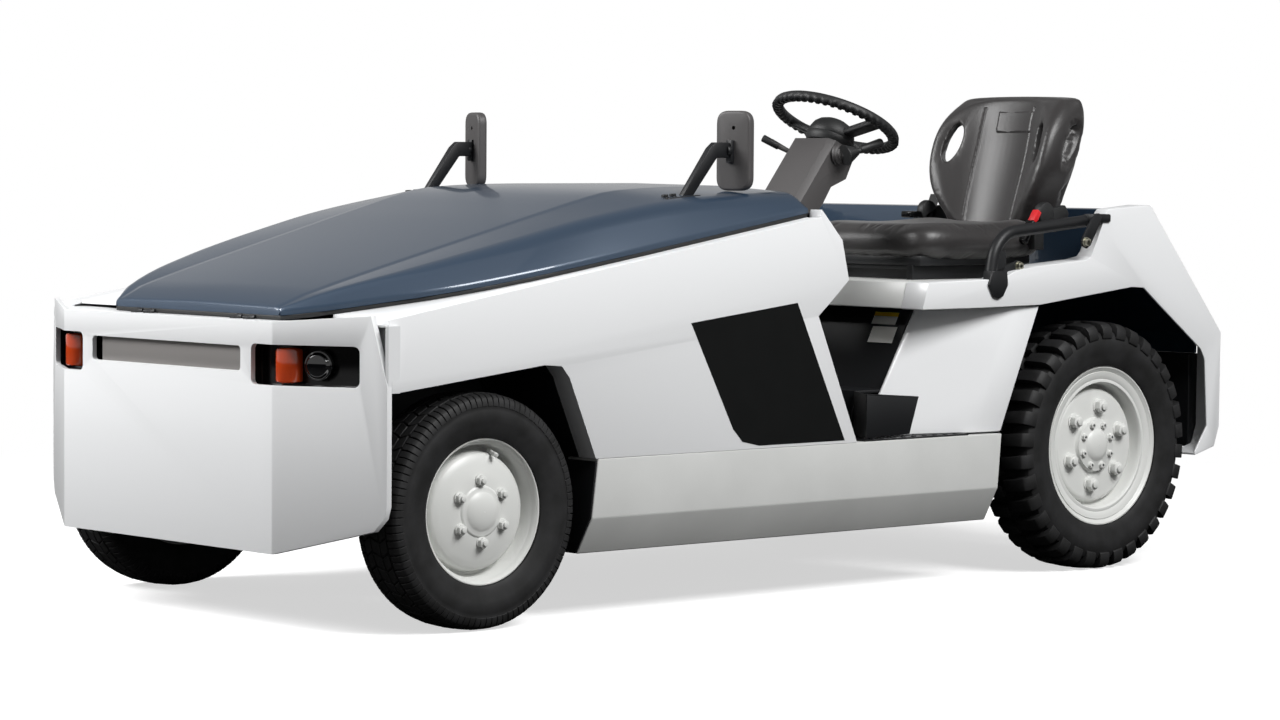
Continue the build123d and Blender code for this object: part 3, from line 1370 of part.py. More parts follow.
FRONT_SIDES = 40
front_wheel = dict(
    x=FRONT_AXLE, track=FRONT_TRACK, radius=FRONT_TYRE_RADIUS, half=FRONT_TYRE_WIDTH / 2, rim=FRONT_RIM_RADIUS,
    bore=24 + STUB_PLAY, rim_section=front_rim, carcass=front_carcass, sides=FRONT_SIDES, face=33, nut_ring=71.5,
    nut=12.1, nut_height=13,
)
rear_wheel = dict(
    x=REAR_AXLE, track=REAR_TRACK, radius=REAR_TYRE_RADIUS, half=REAR_TYRE_WIDTH / 2, rim=REAR_RIM_RADIUS,
    bore=30 + STUB_PLAY, rim_section=rear_rim, carcass=rear_carcass, sides=LUGS, face=2, nut_ring=104,
    nut=18.5, nut_height=22,
)
RIM_INSET = 17.0
HUB_BOLT_RING = 59.0
for name, sizes, side in (
    ("front_left", front_wheel, 1),
    ("front_right", front_wheel, -1),
    ("rear_left", rear_wheel, 1),
    ("rear_right", rear_wheel, -1),
):
    place = Vector(sizes["x"], side * sizes["track"] / 2, sizes["radius"])
    axle_line = Axis(place, (0, 1, 0))
    with BuildPart() as rim:
        with BuildSketch(Plane(origin=place, x_dir=(0, side, 0), z_dir=(-side, 0, 0))):
            with BuildLine():
                Polyline(*sizes["rim_section"](sizes["rim"], sizes["half"] - RIM_INSET, sizes["bore"]), close=True)
            make_face()
        revolve(axis=axle_line)
        face = Plane(origin=place + Vector(0, side * sizes["face"], 0), x_dir=(1, 0, 0), z_dir=(0, side, 0))
        with BuildSketch(face):
            with PolarLocations(sizes["nut_ring"], 6, start_angle=4):
                RegularPolygon(sizes["nut"], 6)
        extrude(amount=sizes["nut_height"])
        if sizes is rear_wheel:
            with BuildSketch(face.offset(10)):
                with PolarLocations(HUB_BOLT_RING, 8, start_angle=20):
                    RegularPolygon(7.5, 6)
            extrude(amount=8)
    ship(rim, f"wheel_{name}")

    seat = (sizes["rim"] + GAP) / cos(pi / sizes["sides"])
    outer = sizes["carcass"](sizes["radius"], sizes["half"], seat)
    whole = outer + [(-offset_along, ring_radius) for offset_along, ring_radius in reversed(outer)]
    with BuildPart() as tyre:
        loft(polygon_ring(whole, sizes["sides"], place, side), ruled=True)
        if sizes is rear_wheel:
            for half_side, turn in ((1, 0.25), (-1, 0.75)):
                loft(toothed(place, sizes["half"], sizes["radius"], half_side, turn), ruled=True)
        bore_ring = [(-sizes["half"], seat), (sizes["half"], seat)]
        loft(polygon_ring(bore_ring, sizes["sides"], place, side), ruled=True, mode=Mode.SUBTRACT)
    ship(tyre, f"tyre_{name}")
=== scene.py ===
import json
import math

import bpy
from mathutils import Matrix, Vector

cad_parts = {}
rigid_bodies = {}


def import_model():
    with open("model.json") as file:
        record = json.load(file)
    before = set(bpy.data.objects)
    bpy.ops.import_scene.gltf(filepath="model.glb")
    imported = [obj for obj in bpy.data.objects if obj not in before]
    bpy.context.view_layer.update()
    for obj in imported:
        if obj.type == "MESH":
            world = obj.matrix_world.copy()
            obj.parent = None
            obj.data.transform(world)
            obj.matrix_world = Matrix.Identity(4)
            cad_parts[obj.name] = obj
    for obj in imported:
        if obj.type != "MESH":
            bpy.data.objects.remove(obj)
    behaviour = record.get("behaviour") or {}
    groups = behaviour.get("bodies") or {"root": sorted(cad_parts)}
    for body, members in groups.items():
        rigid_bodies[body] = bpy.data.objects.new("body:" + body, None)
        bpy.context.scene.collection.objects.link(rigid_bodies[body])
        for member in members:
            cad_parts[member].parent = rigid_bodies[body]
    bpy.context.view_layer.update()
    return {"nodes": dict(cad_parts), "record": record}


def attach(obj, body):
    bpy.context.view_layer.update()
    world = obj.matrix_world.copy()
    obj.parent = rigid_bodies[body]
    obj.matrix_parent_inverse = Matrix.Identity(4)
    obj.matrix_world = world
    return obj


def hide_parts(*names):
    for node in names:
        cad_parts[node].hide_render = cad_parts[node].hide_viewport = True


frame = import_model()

bl_info = {
    "name": "Baggage tractor dressing",
    "version": (1, 0, 0),
    "blender": (4, 5, 0),
    "location": "3D View > Sidebar > Tractor",
    "description": "Models the visible pieces of an electric baggage tractor round its packed frame",
    "category": "Object",
}

# Numbers in tables and constants are millimetres, with x forward, y left and z up, unless a comment says otherwise
MM = 0.001  # metres
SAME_PLACE = 0.0001  # metres; points closer than this are one point
UPRIGHT = (0, 0, 1)
OTHER_SIDE = Matrix.Scale(-1, 4, Vector((0, 1, 0)))


# Helpers for modelling


def mm(x, y, z):
    """A point in metres from millimetres."""
    return Vector((x * MM, y * MM, z * MM))


def in_mm(length):
    """A length property in millimetres."""
    return round(length / MM, 3)


def only(*objects):
    """Selects these objects alone and makes the first one active."""
    bpy.ops.object.select_all(action="DESELECT")
    for item in objects:
        item.select_set(True)
    bpy.context.view_layer.objects.active = objects[0]


def edit(piece):
    """Opens a piece in edit mode with everything selected."""
    only(piece)
    bpy.ops.object.mode_set(mode="EDIT")
    bpy.ops.mesh.select_mode(type="VERT")
    bpy.ops.mesh.select_all(action="SELECT")


def leave():
    """Leaves edit mode."""
    bpy.ops.object.mode_set(mode="OBJECT")


def mark(piece, kind, test):
    """In edit mode, selects the faces, edges or vertices whose place and direction pass the test."""
    bpy.ops.mesh.select_mode(type=kind)
    bpy.ops.mesh.select_all(action="DESELECT")
    leave()
    mesh = piece.data
    if kind == "FACE":
        for face in mesh.polygons:
            face.select = test(face.center, face.normal)
    elif kind == "VERT":
        for vertex in mesh.vertices:
            vertex.select = test(vertex.co, vertex.normal)
    else:
        for edge in mesh.edges:
            first, second = (mesh.vertices[index].co for index in edge.vertices)
            edge.select = test((first + second) / 2, (second - first).normalized())
    bpy.ops.object.mode_set(mode="EDIT")


def fix(piece):
    """Puts a piece's place, turn and size into its mesh."""
    only(piece)
    bpy.ops.object.transform_apply(location=True, rotation=True, scale=True)


def modify(piece, kind, **settings):
    """Adds a modifier with its settings and applies it."""
    only(piece)
    modifier = piece.modifiers.new(kind.title(), kind)
    for key, value in settings.items():
        setattr(modifier, key, value)
    bpy.ops.object.modifier_apply(modifier=modifier.name)
    return piece


def tidy(piece, distance=SAME_PLACE / 5):
    """Merges doubles and turns the faces outwards."""
    edit(piece)
    bpy.ops.mesh.remove_doubles(threshold=distance)
    bpy.ops.mesh.normals_make_consistent(inside=False)
    leave()
    return piece


def smooth(piece, angle=35):
    """Shades a piece smooth, apart from edges sharper than the angle."""
    only(piece)
    bpy.ops.object.shade_smooth_by_angle(angle=math.radians(angle))
    return piece


def soften(piece, width, segments=2, angle=30):
    """Rounds the edges that turn by more than the angle; the width is in millimetres."""
    modify(
        piece, "BEVEL", width=width * MM, segments=segments, limit_method="ANGLE",
        angle_limit=math.radians(angle), use_clamp_overlap=True, miter_outer="MITER_ARC",
    )
    return smooth(piece)


def join(name, pieces):
    """Makes one piece of several."""
    only(*pieces)
    if len(pieces) > 1:
        bpy.ops.object.join()
    pieces[0].name = name
    return pieces[0]


def copy_of(piece, name):
    """A copy of a piece with its own mesh."""
    other = piece.copy()
    other.data = piece.data.copy()
    other.name = name
    bpy.context.scene.collection.objects.link(other)
    return other


def moved(piece, matrix):
    """Moves a piece's mesh by a matrix."""
    piece.data.transform(matrix)
    piece.data.update()
    return piece


def trace(name, points, fill=False):
    """Draws a line through the points by extruding one vertex along it, and may fill it."""
    bpy.ops.mesh.primitive_plane_add(size=0.002, location=points[0])
    piece = bpy.context.object
    piece.name = name
    fix(piece)
    edit(piece)
    bpy.ops.mesh.merge(type="CENTER")
    for start, end in zip(points, points[1:]):
        bpy.ops.mesh.extrude_region_move(TRANSFORM_OT_translate={"value": end - start})
    if fill:
        bpy.ops.mesh.select_all(action="SELECT")
        bpy.ops.mesh.edge_face_add()
    leave()
    return piece


def prism(name, points, depth):
    """A filled outline pushed along a vector."""
    piece = trace(name, points, fill=True)
    edit(piece)
    bpy.ops.mesh.extrude_region_move(TRANSFORM_OT_translate={"value": depth})
    leave()
    return tidy(piece)


def side_plate(name, outline, y, thickness):
    """A plate whose outline of x and z stands at y and is pushed along y by its thickness, all in millimetres."""
    return prism(name, [mm(x, y, z) for x, z in outline], mm(0, thickness, 0))


def level_plate(name, outline, z, thickness):
    """A plate whose outline of x and y lies at z and is pushed up by its thickness, all in millimetres."""
    return prism(name, [mm(x, y, z) for x, y in outline], mm(0, 0, thickness))


def turned(name, points, axis=(0, 1, 0), centre=(0, 0, 0), steps=64):
    """A profile spun all the way round an axis."""
    piece = trace(name, points)
    edit(piece)
    bpy.ops.mesh.spin(steps=steps, angle=2 * math.pi, center=centre, axis=axis, use_auto_merge=True)
    leave()
    return tidy(piece)


def turned_upright(name, profile, steps):
    """A profile of radius and height, in millimetres, spun round the upright axis."""
    return turned(name, [mm(radius, 0, z) for radius, z in profile], UPRIGHT, steps=steps)


def skin(name, rows, closed=False, capped=False):
    """A surface over rows of points, each row drawn as a line and bridged to the next; points in millimetres."""
    lines = []
    for index, row in enumerate(rows):
        points = [mm(*point) for point in row]
        if closed:
            points.append(points[0])
        line = trace(name, points)
        if closed:
            edit(line)
            bpy.ops.mesh.remove_doubles(threshold=SAME_PLACE / 100)
            leave()
        lines.append(line)
    piece = join(name, lines)
    edit(piece)
    bpy.ops.mesh.select_mode(type="EDGE")
    bpy.ops.mesh.select_all(action="SELECT")
    bpy.ops.mesh.bridge_edge_loops(type="SINGLE", number_cuts=0, interpolation="LINEAR")
    if capped:
        bpy.ops.mesh.select_all(action="DESELECT")
        bpy.ops.mesh.select_mode(type="EDGE")
        bpy.ops.mesh.select_non_manifold(use_wire=False, use_multi_face=False, use_non_contiguous=False)
        bpy.ops.mesh.edge_face_add()
    leave()
    return tidy(piece)


def block(name, low, high, edge=2.0, segments=2):
    """A box between two corners, in millimetres, with rounded edges."""
    low, high = mm(*low), mm(*high)
    bpy.ops.mesh.primitive_cube_add(size=1, location=(low + high) / 2)
    piece = bpy.context.object
    piece.name = name
    piece.scale = [abs(b - a) for a, b in zip(low, high)]
    fix(piece)
    edit(piece)
    bpy.ops.mesh.bevel(offset=edge * MM, segments=segments, affect="EDGES")
    leave()
    return smooth(piece)


def rod(name, start, end, radius, edge=1.0, sides=32, taper=1.0):
    """A round bar between two points, in millimetres, with softened ends."""
    start, end = mm(*start), mm(*end)
    bpy.ops.mesh.primitive_cone_add(
        vertices=sides, radius1=radius * MM, radius2=radius * taper * MM, depth=(end - start).length,
        location=(start + end) / 2, rotation=(end - start).to_track_quat("Z", "Y").to_euler(),
    )
    piece = bpy.context.object
    piece.name = name
    fix(piece)
    if edge:
        soften(piece, edge, 2, 50)
    return smooth(piece)


def tube(name, points, radius, bend, sides=8):
    """A bent round tube through points, in millimetres, with the same bend at each corner."""
    piece = trace(name, [mm(*point) for point in points])
    edit(piece)
    ends = [mm(*points[0]), mm(*points[-1])]
    if len(points) > 2:
        mark(piece, "VERT", lambda place, normal: min((place - end).length for end in ends) > MM)
        bpy.ops.mesh.bevel(offset=bend * MM, segments=8, affect="VERTICES")
    leave()
    only(piece)
    bpy.ops.object.convert(target="CURVE")
    piece = bpy.context.object
    piece.data.bevel_depth = radius * MM
    piece.data.bevel_resolution = sides
    piece.data.use_fill_caps = True
    bpy.ops.object.convert(target="MESH")
    piece = bpy.context.object
    piece.name = name
    return smooth(tidy(piece), 50)


def ringed(piece, count, start=0.0):
    """Copies of a piece all the way round the wheel's axis, as one piece."""
    copies = [piece] + [copy_of(piece, piece.name) for _ in range(1, count)]
    for index, item in enumerate(copies):
        moved(item, Matrix.Rotation(start + 2 * math.pi * index / count, 4, "Y"))
    return join(piece.name, copies)


def finish(piece, material, body, replaces=()):
    """Gives a piece its material and body, and hides the nodes that it stands for."""
    piece.data.materials.clear()
    piece.data.materials.append(MATERIALS[material])
    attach(piece, body)
    if replaces:
        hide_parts(*replaces)
    return piece


# Materials


def linear(code):
    """Linear colour of an sRGB hex code."""
    channels = [int(code[index:index + 2], 16) / 255 for index in (1, 3, 5)]
    return [c / 12.92 if c <= 0.04045 else ((c + 0.055) / 1.055) ** 2.4 for c in channels] + [1.0]


def add_node(tree, kind, values=None, links=None, **settings):
    """Adds a node with its settings, socket values and links."""
    item = tree.nodes.new(kind)
    for key, value in settings.items():
        setattr(item, key, value)
    for key, value in (values or {}).items():
        item.inputs[key].default_value = value
    for key, output in (links or {}).items():
        tree.links.new(output, item.inputs[key])
    return item


MATERIALS = {}


def surface(name, code, roughness, metallic=0.0, **sockets):
    """A new material with a plain Principled shader; returns its tree and its shader."""
    material = bpy.data.materials.new(name)
    material.use_nodes = True
    tree = material.node_tree
    shader = tree.nodes["Principled BSDF"]
    shader.inputs["Base Color"].default_value = linear(code)
    shader.inputs["Roughness"].default_value = roughness
    shader.inputs["Metallic"].default_value = metallic
    for key, value in sockets.items():
        shader.inputs[key.replace("_", " ")].default_value = value
    MATERIALS[name] = material
    return tree, shader


def grain(tree, shader, size, height, detail=2.0, kind="ShaderNodeTexNoise", stretch=(1, 1, 1), **values):
    """Fine relief: a noise whose features are that many millimetres apart, raised by that many millimetres."""
    place = add_node(tree, "ShaderNodeTexCoord")
    mapping = add_node(tree, "ShaderNodeMapping", {"Scale": stretch}, {"Vector": place.outputs["Object"]})
    settings = {"Scale": 1000.0 / size}
    if kind == "ShaderNodeTexNoise":
        settings["Detail"] = detail
    settings.update(values)
    noise = add_node(tree, kind, settings, {"Vector": mapping.outputs["Vector"]})
    height_out = noise.outputs["Fac"] if "Fac" in noise.outputs else noise.outputs["Distance"]
    bump = add_node(tree, "ShaderNodeBump", {"Strength": 1.0, "Distance": height * MM}, {"Height": height_out})
    tree.links.new(bump.outputs["Normal"], shader.inputs["Normal"])


def mottle(tree, shader, light, dark, size, socket="Base Color", low=0.35, high=0.65, detail=4.0):
    """Soft variation between two colours or two values over a noise of that size in millimetres."""
    place = add_node(tree, "ShaderNodeTexCoord")
    noise = add_node(
        tree, "ShaderNodeTexNoise", {"Scale": 1000.0 / size, "Detail": detail}, {"Vector": place.outputs["Object"]}
    )
    ramp = add_node(tree, "ShaderNodeValToRGB", None, {"Fac": noise.outputs["Fac"]})
    for stop, position, value in zip(ramp.color_ramp.elements, (low, high), (dark, light)):
        stop.position = position
        stop.color = linear(value) if isinstance(value, str) else (value, value, value, 1)
    tree.links.new(ramp.outputs["Color"], shader.inputs[socket])


def make_materials(paint):
    """All materials of the tractor, each from the real one."""
    # White two-coat enamel on pressed steel: even, glossy, with a faint orange peel about 5 mm across
    tree, shader = surface("white_enamel", paint.white_colour, 0.34, Coat_Weight=0.35, Coat_Roughness=0.12)
    grain(tree, shader, 5.0, 0.02)
    # The same enamel under a thin film of road dust, on the sills and where boots pass: a little greyer and duller
    tree, shader = surface("dusty_enamel", "#c9cac9", 0.42, Coat_Weight=0.2, Coat_Roughness=0.2)
    mottle(tree, shader, "#cbccca", "#c3c4c2", 260.0)
    grain(tree, shader, 5.0, 0.02)
    # Blue-grey metallic enamel: darker and glossier, it mirrors the studio in broad soft bands
    tree, shader = surface(
        "blue_enamel", paint.hood_colour, 0.32, metallic=0.25, Coat_Weight=0.7, Coat_Roughness=0.07
    )
    grain(tree, shader, 5.0, 0.015)
    # Black powder coat on steel: satin with a tight pebble of about 1.5 mm, drawn as 2.5 mm to show
    tree, shader = surface("black_powder_coat", "#141517", 0.45, Specular_IOR_Level=0.35)
    grain(tree, shader, 2.5, 0.03)
    # Matt black film of the decal
    tree, shader = surface("black_film", "#0e0f0f", 0.6, Specular_IOR_Level=0.12)
    mottle(tree, shader, 0.55, 0.46, 60.0, socket="Roughness")
    # Black chassis paint with road dust: uneven and dull
    tree, shader = surface("chassis_paint", "#151617", 0.6)
    mottle(tree, shader, "#1f2022", "#131415", 120.0)
    grain(tree, shader, 6.0, 0.08)
    # Warm silver wheel enamel over cast and pressed steel
    tree, shader = surface("wheel_enamel", paint.wheel_colour, 0.4, Coat_Weight=0.15, Coat_Roughness=0.25)
    grain(tree, shader, 4.0, 0.03)
    # Cured tyre rubber: near black, dull, with dust in the lows
    tree, shader = surface("tyre_rubber", "#161616", 0.62, Specular_IOR_Level=0.35)
    mottle(tree, shader, "#202021", "#131313", 45.0)
    grain(tree, shader, 3.0, 0.08, detail=5.0)
    # Soft black moulded rubber of seals, mats and bellows
    tree, shader = surface("moulded_rubber", "#0f1011", 0.55)
    grain(tree, shader, 2.0, 0.03)
    # Grained ABS of mirrors, shroud and wheel: spark-eroded grain about 1.2 mm, drawn as 2 mm
    tree, shader = surface("grained_abs", "#444242", 0.5)
    grain(tree, shader, 2.0, 0.05, detail=3.0)
    # Expanded vinyl of the seat: leather-like cells about 2.5 mm across
    tree, shader = surface("seat_vinyl", paint.vinyl_colour, 0.4, Sheen_Weight=0.2, Sheen_Roughness=0.4)
    grain(tree, shader, 2.6, 0.10, kind="ShaderNodeTexVoronoi")
    # Brushed stainless plate: lines run across the vehicle, 0.3 mm apart, drawn as 1.5 mm
    tree, shader = surface("brushed_steel", "#858280", 0.48, metallic=0.45)
    grain(tree, shader, 1.5, 0.03, stretch=(1, 0.01, 1))
    # Zinc-plated steel of bolts and pins: bright with a yellowish passivation
    tree, shader = surface("zinc_plate", "#a9a797", 0.32, metallic=1.0)
    mottle(tree, shader, 0.42, 0.28, 8.0, socket="Roughness")
    # Grey cast iron under thin black paint
    tree, shader = surface("cast_iron", "#1c1d1e", 0.7, metallic=0.2)
    grain(tree, shader, 3.0, 0.25, detail=4.0)
    # Coloured polycarbonate lenses with moulded flutes 6 mm apart
    for name, code in (("amber_lens", "#c4441a"), ("red_lens", "#b3150f")):
        tree, shader = surface(name, code, 0.1, Transmission_Weight=0.2, IOR=1.58, Coat_Weight=0.6)
        grain(tree, shader, 6.0, 0.5, kind="ShaderNodeTexWave", stretch=(0.001, 1, 0.001))
    # Moulded ABS of the lamp housings, polished in the tool: deep black with a clear highlight
    tree, shader = surface("gloss_black", "#060607", 0.25, Specular_IOR_Level=0.3)
    mottle(tree, shader, 0.2, 0.14, 40.0, socket="Roughness")
    # Glass of the projector lamps, coloured near black for the bowl behind it: painted shade and painted dark
    # reflections of the lamp's inside; wiped clean but not quite even
    tree, shader = surface("painted_dark_lamp_glass", "#08090b", 0.03, Coat_Weight=1.0, Coat_Roughness=0.02, IOR=1.58)
    mottle(tree, shader, 0.07, 0.02, 30.0, socket="Roughness")
    # Silvered glass with a breath of dust
    tree, shader = surface("mirror_glass", "#cfd4d6", 0.03, metallic=1.0)
    mottle(tree, shader, 0.08, 0.02, 50.0, socket="Roughness")
    # Polypropylene battery case
    tree, shader = surface("battery_case", "#2a2d30", 0.5)
    grain(tree, shader, 3.0, 0.05)
    # Printed vinyl labels, blank, with a slightly uneven gloss, and the buckle's moulded button
    for name, code in (("white_label", "#f0efe9"), ("yellow_label", "#e8c21c"), ("red_button", "#c3141c")):
        tree, shader = surface(name, code, 0.4)
        mottle(tree, shader, 0.5, 0.34, 25.0, socket="Roughness")
    # Woven nylon belt: ribs 2 mm apart across the strap
    tree, shader = surface("belt_webbing", "#161617", 0.7, Sheen_Weight=0.3)
    grain(tree, shader, 2.0, 0.3, kind="ShaderNodeTexWave")


# Stage


CAMERA_PLACE = (6.6383, 7.3395, 1.0776)  # metres
CAMERA_YAW = 48.092  # degrees, as are the next two
CAMERA_DIP = 3.017
CAMERA_ROLL = -0.398
CAMERA_LENS = 107.58  # millimetres, as is the next
CAMERA_SENSOR = 36.0


def make_camera():
    """The camera at the photograph's view."""
    yaw, dip, roll = (math.radians(v) for v in (CAMERA_YAW, CAMERA_DIP, CAMERA_ROLL))
    forward = Vector((-math.cos(yaw) * math.cos(dip), -math.sin(yaw) * math.cos(dip), -math.sin(dip)))
    right = forward.cross(Vector((0, 0, 1))).normalized()
    down = forward.cross(right)
    right_rolled = math.cos(roll) * right + math.sin(roll) * down
    down_rolled = math.cos(roll) * down - math.sin(roll) * right
    turn = Matrix((right_rolled, -down_rolled, -forward)).transposed()
    bpy.ops.object.camera_add(location=CAMERA_PLACE, rotation=turn.to_euler())
    camera = bpy.context.object
    camera.data.lens = CAMERA_LENS
    camera.data.sensor_width = CAMERA_SENSOR
    bpy.context.scene.camera = camera


LAMPS = [
    # name, place, target, width and height in metres, power in watts
    ("front_box", (4.8, -2.3, 4.0), (0.6, 0.0, 0.5), 3.5, 2.6, 465.0),
    ("side_box", (-0.3, 5.2, 4.9), (0.1, 0.4, 0.5), 3.4, 2.6, 470.0),
    ("top_box", (1.6, 0.8, 4.8), (0.2, 0.0, 0.4), 4.5, 3.5, 15.0),
]


FLOOR_SIZE = 60  # metres
FLOOR_FADE = {"From Min": 1.8, "From Max": 4.5}  # metres from the middle, between which the floor turns plain white
WALL_FADE = {"From Min": 0.24, "From Max": 0.5}  # upward slope of a reflection, between which the wall goes dark
WALL_TOP = 0.08


def make_floor(studio):
    """A pale floor: the camera sees it near white with the shadow on it, and it throws little light back up."""
    bpy.ops.mesh.primitive_plane_add(size=FLOOR_SIZE, location=(0, 0, 0))
    floor = bpy.context.object
    floor.name = "studio_floor"
    material = bpy.data.materials.new("studio_floor")
    material.use_nodes = True
    tree = material.node_tree
    tree.nodes.clear()
    path = add_node(tree, "ShaderNodeLightPath")
    pale = add_node(tree, "ShaderNodeBsdfDiffuse", {"Color": linear("#c9c9c9")})
    glow = add_node(tree, "ShaderNodeEmission", {"Strength": studio.floor_glow})
    near = add_node(tree, "ShaderNodeAddShader", None, {0: pale.outputs[0], 1: glow.outputs[0]})
    place = add_node(tree, "ShaderNodeTexCoord")
    reach = add_node(tree, "ShaderNodeVectorMath", None, {0: place.outputs["Object"]}, operation="LENGTH")
    away = add_node(
        tree, "ShaderNodeMapRange", FLOOR_FADE, {"Value": reach.outputs["Value"]}, interpolation_type="SMOOTHSTEP"
    )
    white = add_node(tree, "ShaderNodeEmission", {"Strength": 1.0})
    seen = add_node(
        tree, "ShaderNodeMixShader", None, {0: away.outputs["Result"], 1: near.outputs[0], 2: white.outputs[0]}
    )
    dull = add_node(tree, "ShaderNodeBsdfDiffuse", {"Color": linear("#343434")})
    mix = add_node(
        tree, "ShaderNodeMixShader", None, {0: path.outputs["Is Camera Ray"], 1: dull.outputs[0], 2: seen.outputs[0]}
    )
    add_node(tree, "ShaderNodeOutputMaterial", None, {"Surface": mix.outputs[0]})
    floor.data.materials.append(material)


def make_world(studio):
    """White to the camera and through glass, fading upwards in reflections, and a low even light otherwise."""
    world = bpy.data.worlds.new("studio_world")
    bpy.context.scene.world = world
    world.use_nodes = True
    tree = world.node_tree
    tree.nodes.clear()
    path = add_node(tree, "ShaderNodeLightPath")
    clear = add_node(
        tree, "ShaderNodeMath", None, {0: path.outputs["Is Camera Ray"], 1: path.outputs["Is Transmission Ray"]},
        operation="MAXIMUM",
    )
    place = add_node(tree, "ShaderNodeTexCoord")
    parts = add_node(tree, "ShaderNodeSeparateXYZ", None, {0: place.outputs["Generated"]})
    fade = add_node(
        tree, "ShaderNodeMapRange", {**WALL_FADE, "To Min": studio.mirror_light, "To Max": WALL_TOP},
        {"Value": parts.outputs["Z"]},
    )
    mirrored = add_node(
        tree, "ShaderNodeMath", None, {0: path.outputs["Is Glossy Ray"], 1: fade.outputs["Result"]},
        operation="MULTIPLY",
    )
    seen = add_node(tree, "ShaderNodeMath", None, {0: clear.outputs[0], 1: mirrored.outputs[0]}, operation="MAXIMUM")
    strength = add_node(
        tree, "ShaderNodeMath", {1: studio.world_light}, {0: seen.outputs[0]}, operation="MAXIMUM"
    )
    light = add_node(tree, "ShaderNodeBackground", {"Color": (1, 1, 1, 1)}, {"Strength": strength.outputs[0]})
    add_node(tree, "ShaderNodeOutputWorld", None, {"Surface": light.outputs[0]})


def make_stage(studio):
    """Floor, world and lamps."""
    make_floor(studio)
    make_world(studio)
    for name, place, target, width, height, power in LAMPS:
        direction = Vector(target) - Vector(place)
        bpy.ops.object.light_add(type="AREA", location=place, rotation=direction.to_track_quat("-Z", "Y").to_euler())
        lamp = bpy.context.object
        lamp.name = name
        lamp.data.shape = "RECTANGLE"
        lamp.data.size = width
        lamp.data.size_y = height
        lamp.data.energy = power
    bpy.context.scene.view_settings.view_transform = "Standard"


# Pressed steel and other rigid pieces that keep the form of their solids


SHEETS = [
    # node, edge radius, material
    ("front_bumper", 4.0, "white_enamel"),
    ("side_panel_left", 3.5, "white_enamel"),
    ("side_panel_right", 3.5, "white_enamel"),
    ("sills", 3.0, "dusty_enamel"),
    ("seat_deck", 3.0, "dusty_enamel"),
    ("seat_side_panels", 3.0, "white_enamel"),
    ("rear_deck", 3.0, "blue_enamel"),
    ("rear_plate", 3.0, "black_powder_coat"),
    ("tow_hitch", 2.0, "black_powder_coat"),
    ("hitch_pin", 1.5, "zinc_plate"),
    ("grille_plate", 0.5, "brushed_steel"),
    ("lamp_housings", 1.5, "gloss_black"),
    # The headlamps' near-black glass is painted shade and painted dark reflection of the lamp's inside
    ("headlamps", 1.5, "painted_dark_lamp_glass"),
    ("rear_lamps", 3.0, "gloss_black"),
    ("seat_belt", 2.0, "moulded_rubber"),
    ("hood_seal", 2.0, "moulded_rubber"),
    ("hood_hinges", 0.8, "black_powder_coat"),
    ("arch_liners", 1.5, "black_powder_coat"),
    ("cowl", 3.0, "black_powder_coat"),
    ("floor_plate", 1.0, "black_powder_coat"),
    ("step_plates", 1.0, "black_powder_coat"),
    ("kick_panel", 2.0, "black_powder_coat"),
    ("chassis_frame", 4.0, "chassis_paint"),
    ("front_axle", 4.0, "cast_iron"),
    ("rear_axle", 4.0, "cast_iron"),
    ("drive_motor", 4.0, "cast_iron"),
    ("battery", 4.0, "battery_case"),
    ("knuckle_left", 2.0, "cast_iron"),
    ("knuckle_right", 2.0, "cast_iron"),
    ("tie_rod", 1.5, "zinc_plate"),
    ("seat_base", 3.0, "black_powder_coat"),
    ("steering_column", 3.0, "grained_abs"),
    ("pedals", 2.0, "moulded_rubber"),
]


def body_of(node):
    """The body that a node rides on."""
    for body, nodes in frame["record"]["behaviour"]["bodies"].items():
        if node in nodes:
            return body
    raise ValueError("no body for " + node)


FLAT_ANGLE = 1.0  # degrees; faces that turn by less are merged
SHIFTS = {
    # node: which corners move, tested in metres, and by how much
    # The front plate stands a little lower in the photo than in the CAD, so that the seal shows over it
    "front_bumper": (lambda place: place.x > 1.5 and place.z > 0.712 and abs(place.y) < 0.425, (0, 0, -11)),
    # Sunk into the ledge, since the photo shows no hinge in front of the hood
    "hood_hinges": (lambda place: True, (-10, 0, -6)),
    # The plate ends short of the far lamp
    "grille_plate": (lambda place: place.y < -0.27, (0, 36, 0)),
}


def dress_sheets(sizes):
    """Copies of the plain solids with merged faces and rounded edges."""
    for node, edge, material in SHEETS:
        piece = copy_of(frame["nodes"][node], node + "_skin")
        piece.parent = None
        for key in list(piece.keys()):
            del piece[key]
        edit(piece)
        bpy.ops.mesh.remove_doubles(threshold=SAME_PLACE / 10)
        bpy.ops.mesh.dissolve_limited(angle_limit=math.radians(FLAT_ANGLE))
        if node in SHIFTS:
            moves, shift = SHIFTS[node]
            mark(piece, "VERT", lambda place, normal: moves(place))
            bpy.ops.transform.translate(value=mm(*shift))
        leave()
        soften(piece, edge * sizes.edge_share, 3)
        finish(piece, material, body_of(node), [node])


FENDER_TOP = [
    # x, z along the outer edge from the deck back over the wheel, and how far the inner edge stands back from it
    (-324, 770, 0), (-597, 775, 0), (-642, 794, 0), (-714, 805, 0), (-919, 820, 0), (-935, 828, 30), (-942, 841, 36),
    (-976, 906, 40), (-992, 943, 42), (-1003, 952, 40), (-1168, 963, 0), (-1176, 958, 0), (-1469, 618, 0),
    (-1467, 362, 0), (-1447, 308, 0), (-1367, 287, 0),
]
FENDER_LOW = [
    (-1367, 297), (-1416, 364), (-1403, 546), (-1386, 574), (-1189, 713), (-1148, 743), (-1099, 746), (-739, 706),
    (-512, 703), (-303, 703),
]
BODY_SIDE = 668  # y of the body's outer face
FENDER_LIP = 78  # how far the top edge turns in


